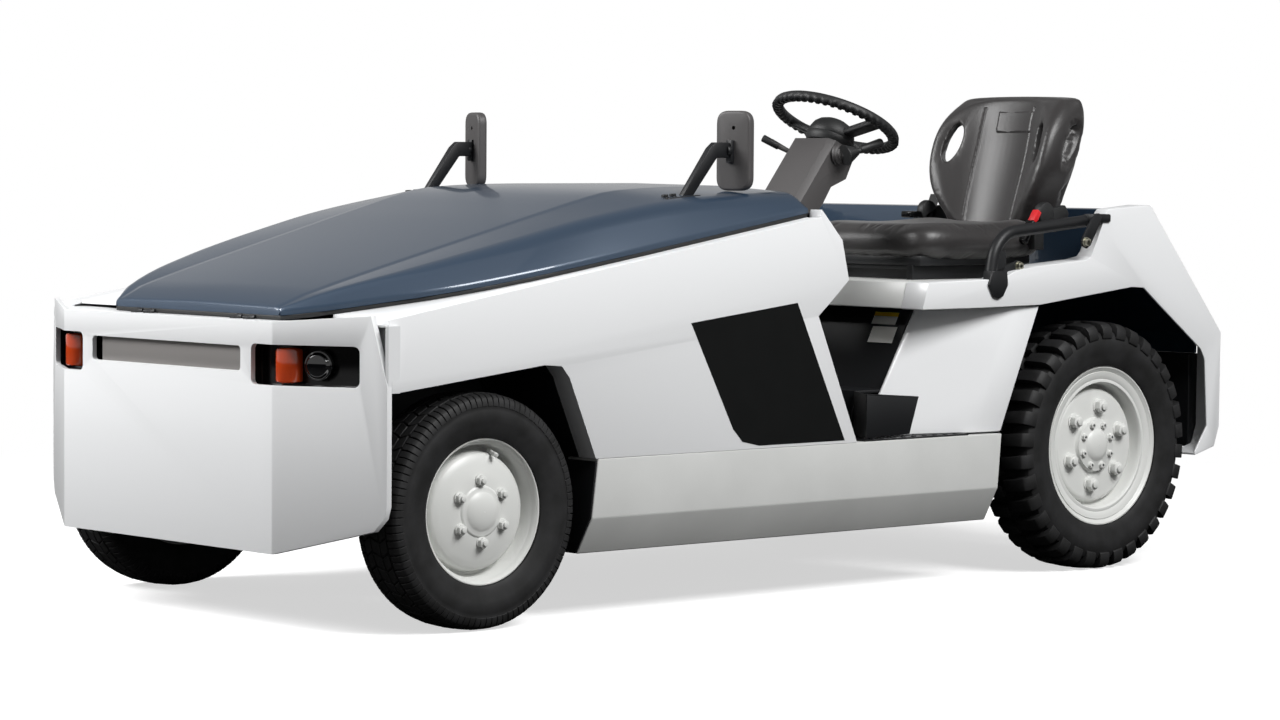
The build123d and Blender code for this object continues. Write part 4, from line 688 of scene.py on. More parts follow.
def make_fenders(sizes):
    """Rear fenders: an outer plate with its top edge turned in, raised behind the seat."""
    top = [mm(x, BODY_SIDE, z) for x, z, _ in FENDER_TOP]
    low = [mm(x, BODY_SIDE, z) for x, z in FENDER_LOW]
    middles = [(a + b) / 2 for a, b in zip(top, top[1:])] + [(low[-1] + top[0]) / 2]
    left = trace("rear_fender_left_skin", top + low, fill=True)
    edit(left)
    mark(left, "EDGE", lambda place, along: any((place - middle).length < SAME_PLACE / 10 for middle in middles))
    bpy.ops.mesh.extrude_region_move(TRANSFORM_OT_translate={"value": mm(0, -FENDER_LIP, 0)})
    for x, z, back in FENDER_TOP:
        if back:
            inner = mm(x, BODY_SIDE - FENDER_LIP, z)
            mark(left, "VERT", lambda place, normal: (place - inner).length < SAME_PLACE)
            bpy.ops.transform.translate(value=mm(-back, 0, 0))
    leave()
    tidy(left)
    if max(left.data.polygons, key=lambda face: face.area).normal.y < 0:
        edit(left)
        bpy.ops.mesh.flip_normals()
        leave()
    modify(left, "SOLIDIFY", thickness=sizes.fender_gauge, offset=-1.0, use_even_offset=True)
    right = moved(copy_of(left, "rear_fender_right_skin"), OTHER_SIDE)
    for piece, node in ((left, "rear_fender_left"), (right, "rear_fender_right")):
        tidy(piece)
        soften(piece, 3.5, 3)
        finish(piece, "white_enamel", "chassis", [node])


LEDGE_PLAN = [(1524, 416), (1398, 655), (1335, 655), (1390, 330)]
LAP_PLAN = [(1404, 663), (1399, 667.6), (1366, 667.6), (1366, 652), (1396, 652)]


def make_nose_joints():
    """The ledge behind the bumper's top edge, and the lap between its wings and the side panels."""
    pieces = [level_plate("bumper_ledge", LEDGE_PLAN + [(x, -y) for x, y in reversed(LEDGE_PLAN)], 699, 5.2)]
    for side in (1, -1):
        pieces.append(level_plate("wing_lap", [(x, side * y) for x, y in LAP_PLAN], 552, 150))
    finish(smooth(join("nose_joints", pieces)), "white_enamel", "chassis")


def zinc_bolt(size, place, along):
    """A hexagon bolt head with its washer at a place in millimetres, facing along a direction."""
    bolt = nut("zinc_bolt", size, size * 0.6, 0, 0)
    turn = Vector((0, 1, 0)).rotation_difference(Vector(along)).to_matrix().to_4x4()
    return moved(bolt, Matrix.Translation(mm(*place)) @ turn)


def mirrored(piece):
    """The same piece on the other side of the vehicle."""
    return tidy(moved(copy_of(piece, piece.name), OTHER_SIDE), SAME_PLACE / 100)


RAIL_PATH = [(-1000, 634, 926), (-606, 634, 890), (-580, 634, 757)]
RAIL_BEND = 66
RAIL_PLATES = [
    # name, outline of x and z, y, thickness
    ("rail_foot", [(-574, 725), (-556, 731), (-538, 761), (-550, 794), (-606, 794), (-610, 760), (-592, 731)],
     BODY_SIDE + 0.4, 7),
    ("rail_web", [(-570, 770), (-594, 768), (-640, 778), (-690, 796), (-694, 814), (-678, 822), (-600, 800)], 640, 6),
    ("rail_bracket", [
        (-932, 930), (-944, 940), (-960, 941), (-970, 932), (-962, 914), (-926, 858), (-912, 850), (-895, 856),
        (-890, 870), (-898, 884),
    ], BODY_SIDE + 0.4, 6),
]
RAIL_BOLT = 19
RAIL_BOLTS = [(-906, 674, 868), (-678, 646, 807)]


def make_rails(sizes):
    """Bent tube rails beside the seat with their plates and bolts."""
    pieces = [tube("hip_rail", RAIL_PATH, in_mm(sizes.rail_radius), RAIL_BEND)]
    pieces += [soften(side_plate(*row), 2.0, 2) for row in RAIL_PLATES]
    pieces.append(block("rail_neck", (-598, 630, 768), (-562, 672, 796), 3.0))
    pieces.append(block("rail_end", (-1006, 628, 918), (-944, 674, 940), 4.0))
    pieces.append(block("rail_leg", (-638, 622, 752), (-586, 646, 850), 9.0, 3))
    left = join("rail_set", pieces)
    bolts = join("rail_bolts", [zinc_bolt(RAIL_BOLT, place, (0, 1, 0)) for place in RAIL_BOLTS])
    rails = join("rail_pieces", [left, mirrored(left)])
    finish(rails, "black_powder_coat", "chassis", ["hip_rails"])
    finish(join("rail_fixings", [bolts, mirrored(bolts)]), "zinc_plate", "chassis")


BARREL = [(0.5, 569), (26, 569), (31, 572), (32, 576), (32, 641), (31, 645), (26, 648), (0.5, 648)]
BARREL_PLACE = (1489, 424, 0)
REAR_LENSES = [("red_lens", 461), ("amber_lens", 499)]  # material, height of the middle
REAR_LENS_X = (-1508, -1496)
REAR_LENS_Y = 470
REAR_LENS_HALF = (67, 16)  # along y and z


def make_lamps():
    """Amber barrels in the corner lamps, and the lenses of the rear lamps."""
    barrel = turned_upright("amber_barrel", BARREL, 48)
    smooth(moved(barrel, Matrix.Translation(mm(*BARREL_PLACE))), 40)
    pair = join("amber_barrels", [barrel, mirrored(barrel)])
    finish(pair, "amber_lens", "chassis", ["turn_lenses"])
    (x0, x1), (half_y, half_z) = REAR_LENS_X, REAR_LENS_HALF
    for name, z in REAR_LENSES:
        pieces = []
        for y in (REAR_LENS_Y, -REAR_LENS_Y):
            pieces.append(block("rear_lens", (x0, y - half_y, z - half_z), (x1, y + half_y, z + half_z), 4.0, 3))
        finish(join("rear_" + name, pieces), name, "chassis")


# Wheels, modelled round the origin with the outer face towards +Y and then put on their axles


FRONT_RADIUS = 272
REAR_RADIUS = 328
WHEELS = [
    # corner, x, y, z
    ("front_left", 1110.0, 589.0, FRONT_RADIUS),
    ("front_right", 1110.0, -589.0, FRONT_RADIUS),
    ("rear_left", -1010.0, 582.0, REAR_RADIUS),
    ("rear_right", -1010.0, -582.0, REAR_RADIUS),
]
FRONT_RIM = [
    # y, radius: the disc is dished outwards, with a groove between it and the rim
    (58, 169), (60, 167.5), (60, 165), (57, 162), (50, 158.5), (36, 156), (20, 153), (10, 150), (5, 147), (4, 142),
    (7, 139), (25, 137), (33, 134), (38, 128), (43, 112), (48, 92), (51, 76), (52, 60), (55, 57), (56, 54), (56, 47),
    (58, 44), (61, 38), (64, 28), (66, 14), (66.5, 0.5),
]
FRONT_RIM_BACK = [(58, 169), (40, 153), (-40, 150), (-52, 160), (-56, 169), (-58, 169), (-56, 158), (-44, 146)]
REAR_RIM = [
    (64, 211), (66, 209.5), (66, 206), (63, 203), (61, 197), (59.5, 196), (62, 195), (61, 188), (59, 180), (57, 176),
    (58, 172), (58, 168), (55, 165), (48, 163), (24, 161), (18, 158), (17, 154), (20, 151), (32, 149), (36, 145),
    (37, 138), (37, 74), (40, 71), (47, 69), (48, 66), (48, 44), (50, 41), (54, 36), (57, 26), (58.5, 12), (59, 0.5),
]
REAR_RIM_BACK = [(64, 211), (46, 196), (-46, 192), (-60, 204), (-64, 211), (-66, 211), (-64, 200), (-50, 186)]
FRONT_TYRE = [
    (58, 168), (64, 170), (68, 178), (70, 190), (74.5, 205), (76, 219), (75, 232), (73.5, 238), (74, 240),
    (73, 246), (69, 255), (62, 261), (45, 264), (20, 265.5), (0, 266),
]
REAR_TYRE = [
    (62, 210), (70, 212), (74, 219), (76, 230), (80, 247), (82, 262), (81, 276), (78, 288), (72, 298),
    (60, 304), (40, 307), (0, 308),
]


RIM_STEPS = 96
TYRE_STEPS = 120
TREAD_RIBS = [
    # y from, y to, x from and to in pitches, skew of x across the block, top at each side
    (-13, 13, -0.47, 0.40, 5, 272, 272),
    (17, 40, -0.44, 0.42, -6, 272, 271),
    (-40, -17, -0.44, 0.42, -6, 271, 272),
]
SHOULDER_BLOCK = [(44, 270.5), (62, 267), (70.5, 260.5), (74.6, 250), (75.2, 241), (70, 241), (60, 256), (44, 260)]
LUG = [
    (4, 328), (30, 327.5), (58, 325.5), (72, 321), (80.5, 311), (83, 298), (83, 284), (76, 280), (70, 296),
    (40, 304), (4, 305),
]
LUG_LENGTH = 0.60  # pitches


def both_halves(points):
    """A profile of y and radius mirrored onto the other side."""
    return points + [(-y, r) for y, r in reversed(points[:-1])]


def wheel_turned(name, profile, steps, angle):
    """A profile of y and radius, in millimetres, spun round the axle and shaded smooth."""
    return smooth(turned(name, [mm(0, y, r) for y, r in profile], steps=steps), angle)


def front_tread(count):
    """One pitch of the road tread, repeated round the tyre: two ribs of blocks each side of a centre rib."""
    pitch = 2 * math.pi * FRONT_RADIUS / count
    pieces = []
    for y0, y1, x0, x1, skew, top0, top1 in TREAD_RIBS:
        outline = [
            (x0 * pitch - skew, y0, top0), (x1 * pitch - skew, y0, top0),
            (x1 * pitch + skew, y1, top1), (x0 * pitch + skew, y1, top1),
        ]
        pieces.append(prism("tread_block", [mm(*p) for p in outline], mm(0, 0, -10)))
    for side in (1, -1):
        for x0, x1 in ((-0.46, -0.05), (0.01, 0.42)):
            outline = [mm(x0 * pitch, side * y, z) for y, z in SHOULDER_BLOCK]
            pieces.append(prism("tread_block", outline, mm((x1 - x0) * pitch, 0, 0)))
    return ringed(soften(join("front_tread", pieces), 0.9, 1), count)


def rear_tread(count):
    """One pitch of the lug tread, a left and a right lug half a pitch apart, repeated round the tyre."""
    pitch = 2 * math.pi * REAR_RADIUS / count
    inner, outer = LUG[0][0], LUG[5][0]
    pieces = []
    for side, shift in ((1, 0.0), (-1, 0.5)):
        outline = [mm(-LUG_LENGTH / 2 * pitch, side * y, z) for y, z in LUG]
        lug = prism("lug", outline, mm(LUG_LENGTH * pitch, 0, 0))
        for vertex in lug.data.vertices:
            # Narrower and slanted towards the middle of the tyre
            share = (abs(vertex.co.y) / MM - inner) / (outer - inner)
            vertex.co.x = vertex.co.x * (0.82 + 0.18 * share) + side * 6 * MM * (1 - share)
        soften(lug, 2.0, 2)
        moved(lug, Matrix.Rotation(shift * 2 * math.pi / count, 4, "Y"))
        pieces.append(lug)
    return ringed(join("rear_tread", pieces), count)


HEXAGON = 1.732  # size across the flats of a hexagon for each unit of radius


def nut(name, size, height, stud, y):
    """A hexagon nut with its washer and the stud's end, standing on the disc at that y."""
    bpy.ops.mesh.primitive_cylinder_add(vertices=6, radius=size / HEXAGON * MM, depth=height * MM)
    hexagon = bpy.context.object
    hexagon.rotation_euler = (math.pi / 2, 0, 0)
    hexagon.location = mm(0, y + height / 2, 0)
    fix(hexagon)
    soften(hexagon, size * 0.06, 2)
    washer = rod("washer", (0, y - 1, 0), (0, y + 3, 0), size * 0.66, 0.8)
    end = rod("stud", (0, y, 0), (0, y + height + stud, 0), size * 0.3, 1.2, 20)
    return join(name, [hexagon, washer, end])


def nut_ring(name, size, height, stud, y, radius, count, start):
    """Nuts round the wheel's axis; start is the turn of the first, in degrees."""
    first = moved(nut(name, size, height, stud, y), Matrix.Translation(mm(0, 0, radius)))
    return ringed(first, count, math.radians(start))


def front_wheel(sizes):
    """The front rim with its nuts and valve, and its tyre with road tread, round the origin."""
    stem = rod("valve", (0, 22, 145), (0, 50, 136), 4.5, 1.0, 16)
    cap = rod("valve_cap", (0, 46, 137), (0, 58, 133), 5.5, 1.0, 16)
    rim = [
        wheel_turned("rim", FRONT_RIM, RIM_STEPS, 40),
        wheel_turned("rim_back", FRONT_RIM_BACK, RIM_STEPS, 40),
        nut_ring("wheel_nut", in_mm(sizes.front_nut), 13, 5, 51, 71.5, 6, 2),
        moved(join("valve", [stem, cap]), Matrix.Rotation(math.radians(-18), 4, "Y")),
    ]
    return rim, [wheel_turned("tyre_body", both_halves(FRONT_TYRE), TYRE_STEPS, 30), front_tread(sizes.front_blocks)]


def rear_wheel(sizes):
    """The rear rim with its nuts and hub bolts, and its tyre with lugs, round the origin."""
    rim = [
        wheel_turned("rim", REAR_RIM, RIM_STEPS, 40),
        wheel_turned("rim_back", REAR_RIM_BACK, RIM_STEPS, 40),
        nut_ring("wheel_nut", in_mm(sizes.rear_nut), 20, 6, 37, 104, 6, -9),
        nut_ring("hub_bolt", 15, 9, 0, 47, 57, 8, 20),
    ]
    return rim, [wheel_turned("tyre_body", both_halves(REAR_TYRE), TYRE_STEPS, 30), rear_tread(sizes.rear_lugs)]


def make_wheels(sizes):
    """Rims with their nuts and hubs, and tyres with tread, on the four corners."""
    for place, modelled in (("front", front_wheel), ("rear", rear_wheel)):
        rim, tyre = modelled(sizes)
        rim, tyre = join("wheel_master", rim), join("tyre_master", tyre)
        for corner, x, y, z in WHEELS:
            if not corner.startswith(place):
                continue
            where = Matrix.Translation(mm(x, y, z))
            if y < 0:
                where = where @ Matrix.Rotation(math.pi, 4, "Z")
            body = "wheel_" + corner
            finish(moved(copy_of(rim, "rim_" + corner), where), "wheel_enamel", body, [body])
            finish(moved(copy_of(tyre, "tread_" + corner), where), "tyre_rubber", body, ["tyre_" + corner])
        for item in (rim, tyre):
            bpy.data.objects.remove(item)


# Hood


HOOD_SECTIONS = [
    # x, half width at the lower edge, outer shoulder y and z, inner crease y and z
    (1446, 330, 322, 731, 304, 733),
    (1400, 388, 366, 753, 315, 755),
    (1340, 430, 404, 776, 322, 774),
    (1263, 475, 444, 799, 326, 796),
    (1186, 520, 476, 819, 330, 817),
    (1062, 565, 508, 851, 336, 850),
    (900, 594, 532, 890, 344, 893),
    (700, 606, 550, 935, 354, 946),
    (500, 608, 562, 966, 364, 995),
    (400, 608, 565, 977, 366, 1004),
    (300, 608, 567, 985, 366, 1008),
    (160, 608, 567, 993, 366, 1010),
    (45, 608, 564, 998, 366, 1010),
]
HOOD_ROWS = 30
HOOD_FRONT = 1446
HOOD_REAR = 45
# How far in from the end, and how far the skin drops there
HOOD_LIP = [(0.0, 30.0), (1.0, 4.0), (2.5, 2.0), (5.0, 0.7), (9.0, 0.0)]
HOOD_TAIL = [(0.0, 20.0), (1.2, 13.0), (4.0, 7.5), (9.0, 3.2), (16.0, 0.8), (24.0, 0.0)]
BODY_EDGE = (706, 0.165, 1438)  # height and slope of the body's top edge, and the x where it has that height
HOOD_CLEAR = 10.5


def blend_rows(rows, x):
    """Values of a table at x, on a smooth line through its rows, which fall in x."""
    index = 0
    while index < len(rows) - 2 and x < rows[index + 1][0]:
        index += 1
    first = rows[max(index - 1, 0)]
    second, third = rows[index], rows[index + 1]
    last = rows[min(index + 2, len(rows) - 1)]
    span = third[0] - second[0]
    share = (x - second[0]) / span
    values = []
    for a, b, c, d in zip(first[1:], second[1:], third[1:], last[1:]):
        slope_b = (c - a) / (third[0] - first[0]) * span
        slope_c = (d - b) / (last[0] - second[0]) * span
        s2, s3 = share * share, share ** 3
        values.append(
            (2 * s3 - 3 * s2 + 1) * b + (s3 - 2 * s2 + share) * slope_b
            + (3 * s2 - 2 * s3) * c + (s3 - s2) * slope_c
        )
    return values


def rounded(points, radii, count):
    """A line through the points whose inner corners are rounded, each by the same number of points."""
    line = [Vector(points[0])]
    for before, corner, after, radius in zip(points, points[1:], points[2:], radii):
        before, corner, after = Vector(before), Vector(corner), Vector(after)
        reach = min(radius, (corner - before).length * 0.49, (after - corner).length * 0.49)
        start = corner + (before - corner).normalized() * reach
        end = corner + (after - corner).normalized() * reach
        for step in range(count + 1):
            t = step / count
            line.append((1 - t) ** 2 * start + 2 * t * (1 - t) * corner + t * t * end)
    line.append(Vector(points[-1]))
    return line


def body_edge(x):
    """Height of the body's top edge at x, in millimetres."""
    height, slope, start = BODY_EDGE
    return height + slope * (start - x)


def hood_section(x, drop):
    """Half section of the hood from its middle to its lower edge, sunk by the drop near its ends."""
    edge, brow, brow_z, crease, crease_z = blend_rows(HOOD_SECTIONS, x)
    low = body_edge(x) + HOOD_CLEAR
    points = [
        (0, crease_z + 4 - drop), (crease, crease_z - drop), (crease + 16, crease_z - 2.5 - drop),
        (brow, brow_z - drop), (edge, low + 12), (edge, low),
    ]
    points = [(y, max(z, low)) for y, z in points]
    return rounded(points, (14, 10, 34, 6), 5)


def make_hood(sizes):
    """The hood as one curved sheet with its turned-down edge."""
    first, last = HOOD_FRONT - 26, HOOD_REAR + 26
    places = [(HOOD_FRONT - inset, drop) for inset, drop in HOOD_LIP]
    places += [(first - (first - last) * (i + 1) / (HOOD_ROWS + 1), 0.0) for i in range(HOOD_ROWS)]
    places += [(HOOD_REAR + inset, drop * 1.5) for inset, drop in reversed(HOOD_TAIL)]
    piece = skin("hood_skin", [[(x, p.x, p.y) for p in hood_section(x, drop)] for x, drop in places])
    modify(piece, "MIRROR", use_axis=(False, True, False), merge_threshold=SAME_PLACE)
    tidy(piece)
    modify(piece, "SOLIDIFY", thickness=sizes.hood_gauge, offset=-1.0)
    smooth(piece, 28)
    finish(piece, "blue_enamel", "hood", ["hood"])


# Seat


SEAT_Y = 310.0
BACK_ROWS = [
    # height, front face at the middle, half width, how far the bolsters stand forward, thickness, half width behind
    (868, -925, 118, 18, 60, 160),
    (925, -943, 148, 45, 72, 185),
    (985, -962, 188, 78, 78, 193),
    (1050, -983, 214, 92, 80, 202),
    (1110, -1001, 220, 94, 78, 210),
    (1170, -1013, 216, 80, 72, 213),
    (1215, -1021, 200, 48, 62, 212),
    (1243, -1027, 186, 20, 50, 206),
    (1258, -1032, 168, 6, 36, 190),
]
SEAM_PATH = [(1218, 88), (1050, 90), (884, 84)]  # height, distance from the middle
SEAM_HALF = 2.8
SEAM_REACH = (0.9, 1.222)  # heights in metres
FACES_FORWARD = 0.2  # least forward part of a normal on the face of the back
BARE_PAD = (0.268, 0.402, 1.155, 1.208)  # y from and to, height from and to, in metres
PAD_CLOTH = (3.0, 6.0)  # pressure, and the most that a point may travel
HAND_HOLE = (-905, 108, 1125)  # x, distance from the middle, height
HAND_HOLE_HALF = (23, 52)
HAND_HOLE_LEAN = 0.35
HAND_HOLE_POINTS = 32
CUSHION_ROWS = [
    # x, half width, top at the middle, rise of the side rolls, underside
    (-438, 150, 874, 0, 842),
    (-448, 196, 898, 0, 832),
    (-475, 224, 908, 1, 827),
    (-530, 238, 910, 4, 826),
    (-620, 242, 903, 8, 826),
    (-720, 242, 898, 12, 826),
    (-820, 238, 904, 14, 826),
    (-890, 222, 912, 10, 828),
    (-935, 190, 904, 4, 836),
]


def back_ring(z, front, half, wing, depth, rear):
    """One level outline of the seat's back: bolsters at the sides of a shallow hollow, and a flat rear."""
    left = [
        (front, 0), (front + wing * 0.1, half * 0.35), (front + wing * 0.45, half * 0.62),
        (front + wing * 0.92, half * 0.82), (front + wing, half * 0.92), (front + wing * 0.7, half * 0.985),
        (front + wing * 0.2, half), (front - depth * 0.35, (half + rear) / 2), (front - depth * 0.8, rear),
        (front - depth, rear * 0.9), (front - depth * 1.03, rear * 0.5), (front - depth * 1.05, 0),
    ]
    return [(x, SEAT_Y + y, z) for x, y in left] + [(x, SEAT_Y - y, z) for x, y in reversed(left[1:-1])]


def cushion_ring(x, half, top, roll, low):
    """One cross outline of the cushion: thick rolled sides round a crowned middle."""
    left = [
        (0, top), (half * 0.4, top + roll * 0.1), (half * 0.7, top + roll), (half * 0.86, top + roll * 0.6),
        (half * 0.96, top - 12), (half, top - 34), (half * 0.985, low + 22), (half * 0.93, low + 6), (half * 0.8, low),
        (half * 0.4, low), (0, low),
    ]
    return [(x, SEAT_Y + y, z) for y, z in left] + [(x, SEAT_Y - y, z) for y, z in reversed(left[1:-1])]


CLOTH_STEPS = 20


def swell(piece, voxel, pressure, cap):
    """Blows a closed pad up like stuffed cloth, with the travel of each point capped."""
    modify(piece, "REMESH", mode="VOXEL", voxel_size=voxel * MM, use_smooth_shade=True)
    rest = [vertex.co.copy() for vertex in piece.data.vertices]
    only(piece)
    cloth = piece.modifiers.new("Cloth", "CLOTH")
    cloth.settings.use_pressure = True
    cloth.settings.uniform_pressure_force = pressure
    cloth.settings.effector_weights.gravity = 0.0
    for step in range(1, CLOTH_STEPS + 1):
        bpy.context.scene.frame_set(step)
    bpy.ops.object.modifier_apply(modifier=cloth.name)
    bpy.context.scene.frame_set(1)
    for vertex, start in zip(piece.data.vertices, rest):
        travel = vertex.co - start
        if travel.length > cap * MM:
            vertex.co = start + travel.normalized() * cap * MM
    return piece


def hand_hole(side):
    """The tool that cuts a hand hole through a bolster, leaning outwards at the top."""
    x, out, z = HAND_HOLE
    half, high = HAND_HOLE_HALF
    across = Vector((-0.68, -side * 0.73, 0.0))
    outline = []
    for step in range(HAND_HOLE_POINTS):
        angle = 2 * math.pi * step / HAND_HOLE_POINTS
        rise = high * math.sin(angle)
        shift = across * (half * math.cos(angle) + HAND_HOLE_LEAN * rise) * MM
        outline.append(mm(x, SEAT_Y + side * out, z) + shift + mm(0, 0, rise))
    return prism("hand_hole", outline, Vector((-0.73, side * 0.68, 0.0)) * 0.24)


def pad(name, rings, node, voxel, holes=(), sewn=None):
    """A stuffed vinyl pad over rings of points, cut by holes, blown up, and sewn by a function of its own."""
    piece = skin(name, rings, closed=True, capped=True)
    modify(piece, "SUBSURF", levels=2)
    for hole in holes:
        modify(piece, "BOOLEAN", object=hole, operation="DIFFERENCE", solver="EXACT")
        bpy.data.objects.remove(hole)
    swell(piece, voxel, *PAD_CLOTH)
    modify(piece, "SUBSURF", levels=1)
    if sewn:
        sewn(piece)
    finish(smooth(piece, 60), "seat_vinyl", "chassis", [node])


def sew_back(back, depth):
    """Draws in the two seams of the back and raises its bare pad."""
    low, high = SEAM_REACH
    y0, y1, z0, z1 = BARE_PAD
    edit(back)
    for side in (1, -1):
        mark(back, "VERT", lambda place, normal: normal.x > FACES_FORWARD and low < place.z < high
             and abs(place.y * 1000 - SEAT_Y - side * blend_rows(SEAM_PATH, place.z * 1000)[0]) < SEAM_HALF)
        bpy.ops.transform.shrink_fatten(value=-depth)
        bpy.ops.mesh.select_more()
        bpy.ops.mesh.vertices_smooth(factor=0.4, repeat=1)
    mark(back, "VERT", lambda place, normal: normal.x > FACES_FORWARD and z0 < place.z < z1 and y0 < place.y < y1)
    bpy.ops.transform.shrink_fatten(value=3 * MM)
    leave()


def make_seat(sizes):
    """Cushion and back as stuffed vinyl, and the fittings round them."""
    pad("cushion_pad", [cushion_ring(*row) for row in CUSHION_ROWS], "seat_cushion", 5.0)
    pad(
        "back_pad", [back_ring(*row) for row in BACK_ROWS], "seat_back", 5.3,
        holes=(hand_hole(side) for side in (1, -1)), sewn=lambda back: sew_back(back, sizes.seam_depth),
    )
    make_seat_fittings()


RECLINER_ARM = [(-884, 930), (-935, 954), (-985, 962), (-1000, 940), (-990, 905), (-950, 890), (-900, 890)]
BUCKLE_TURN = Matrix.Translation(mm(-838, 544, 914)) @ Matrix.Rotation(math.radians(-35), 4, "Y")
BELT_PATH = [(-836, 88, 926), (-880, 84, 922), (-920, 74, 918), (-960, 60, 940), (-985, 56, 985)]
BELT_HALF = 18


def make_seat_fittings():
    """Recliner covers, the seat's pan, the belt's buckle and tongue, and its strap."""
    covers = []
    for y, out in ((516, 24), (112, -24)):
        covers.append(rod("recliner", (-905, y, 940), (-905, y + out, 940), 30, 6.0))
        covers.append(soften(side_plate("recliner_arm", RECLINER_ARM, y, out * 0.7), 4.0, 2))
    finish(join("recliner_covers", covers), "moulded_rubber", "chassis")
    buckle = moved(block("buckle", (-10, -13, -62), (10, 13, 6), 4.0, 3), BUCKLE_TURN)
    button = moved(block("button", (-8, -11, 2), (8, 11, 40), 3.0), BUCKLE_TURN)
    tongue = block("tongue", (-890, 72, 922), (-832, 108, 940), 4.0, 3)
    pan = block("seat_pan", (-880, 96, 806), (-462, 504, 834), 6.0)
    finish(pan, "black_powder_coat", "chassis")
    finish(join("belt_ends", [buckle, tongue]), "gloss_black", "chassis")
    finish(button, "red_button", "chassis")
    strap = skin("belt_strap", [[(x, y - BELT_HALF, z), (x, y + BELT_HALF, z)] for x, y, z in BELT_PATH])
    modify(strap, "SOLIDIFY", thickness=2 * MM, offset=0.0)
    finish(smooth(strap), "belt_webbing", "chassis")


# Steering


STEER_PIVOT = (-0.350, 0.300, 1.165)  # metres, as the joint's
STEER_LEAN = -25  # degrees, as the joint's
STEER_TURN = Matrix.Translation(STEER_PIVOT) @ Matrix.Rotation(math.radians(STEER_LEAN), 4, "Y")
RING_LIFT = 11
FINGER_WAVES = 48
HUB_COVER = [
    (44, -62), (58, -58), (62, -50), (63, -40), (61, -36), (62, -34), (60, -20), (54, -6), (44, 4), (30, 11),
    (16, 15), (0.5, 16),
]
BELLOWS_RADIUS = 27
BELLOWS_RIBS = 7
BELLOWS_PLACE = (-276, 412, 1089)
BELLOWS_ALONG = (-0.92, 0.16, 0.25)


def make_steering(sizes):
    """Steering wheel, drawn upright and then leant back, and the bellows and knobs of the column's levers."""
    # The rim: a ring whose underside is waved for the fingers
    ring, thick = in_mm(sizes.ring_radius), in_mm(sizes.ring_section)
    section = [(thick * math.cos(a), thick * math.sin(a)) for a in (2 * math.pi * i / 16 for i in range(17))]
    rim = turned_upright("steering_rim", [(ring + r, z + RING_LIFT) for r, z in section], 6 * FINGER_WAVES)
    edit(rim)
    mark(rim, "VERT", lambda place, normal: normal.z < -0.25
         and math.sin(math.atan2(place.y, place.x) * FINGER_WAVES) > 0)
    bpy.ops.transform.shrink_fatten(value=3.2 * MM)
    leave()
    parts = [smooth(rim, 60), smooth(turned_upright("hub_cover", HUB_COVER, 64), 40)]
    for side in (1, -1):
        spoke = block("spoke", (-17, side * 40, -34), (17, side * 153, -14), 6.0, 3)
        edit(spoke)
        mark(spoke, "VERT", lambda place, normal: abs(place.y) > 0.1)
        bpy.ops.transform.translate(value=mm(0, 0, 30))
        leave()
        parts.append(spoke)
    wheel = moved(join("steering_wheel_full", parts), STEER_TURN)
    finish(wheel, "moulded_rubber", "steering_wheel", ["steering_wheel"])
    # Ribbed bellows and knobs of the levers
    ribs = [(0.5, 0), (BELLOWS_RADIUS, 0)]
    for step in range(BELLOWS_RIBS):
        radius = BELLOWS_RADIUS - 2.6 * step
        ribs += [(radius, 3 + 6 * step), (radius - 4, 6 + 6 * step)]
    ribs += [(8, 48), (0.5, 48)]
    bellows = smooth(turned_upright("bellows", ribs, 40), 50)
    along = Vector(BELLOWS_ALONG).to_track_quat("Z", "Y").to_matrix().to_4x4()
    moved(bellows, Matrix.Translation(mm(*BELLOWS_PLACE)) @ along)
    knob = rod("lever_knob", (-330, 412, 1103), (-400, 421, 1123), 10.5, 4.0, 24, 1.12)
    stalk = rod("stalk_knob", (-243, 205, 1110), (-216, 171, 1133), 9, 3.0, 24, 1.1)
    finish(join("lever_dressing", [bellows, knob, stalk]), "moulded_rubber", "chassis")


# Mirrors


MIRROR_CORNER = 32
MIRROR_MARGIN = 9  # from the head's edge to the glass
MIRROR_TURN = 17  # degrees, outwards
MIRROR_ARM = [(372, 984), (338, 984), (256, 1080), (216, 1080), (214, 1118), (262, 1118), (280, 1104)]
MIRROR_ARM_Y = 497
MIRROR_PLATE_MIDDLE = (380, 0, 983)
MIRROR_PLATE_TILT = math.atan2(16, 112) * 0.55  # as the hood's surface there


def mirror_head(half, high):
    """A mirror's head with rounded corners, a raised rim round its glass and a pin hole above the joint."""
    corners = [(half, 0), (half, -high), (-half, -high), (-half, high), (half, high), (half, 0)]
    outline = rounded(corners, (MIRROR_CORNER,) * 4, 7)[:-1]
    head = prism("mirror_head", [mm(-12, p.x, p.y) for p in outline], mm(26, 0, 0))
    soften(head, 7.0, 4, 50)
    edit(head)
    mark(head, "FACE", lambda place, normal: normal.x < -0.9)
    bpy.ops.mesh.inset(thickness=4 * MM)
    bpy.ops.transform.translate(value=mm(3, 0, 0))
    leave()
    pin = rod("pin_hole", (0, 2, 56), (30, 2, 56), 5, 0)
    modify(head, "BOOLEAN", object=pin, operation="DIFFERENCE", solver="EXACT")
    bpy.data.objects.remove(pin)
    return smooth(head, 30)


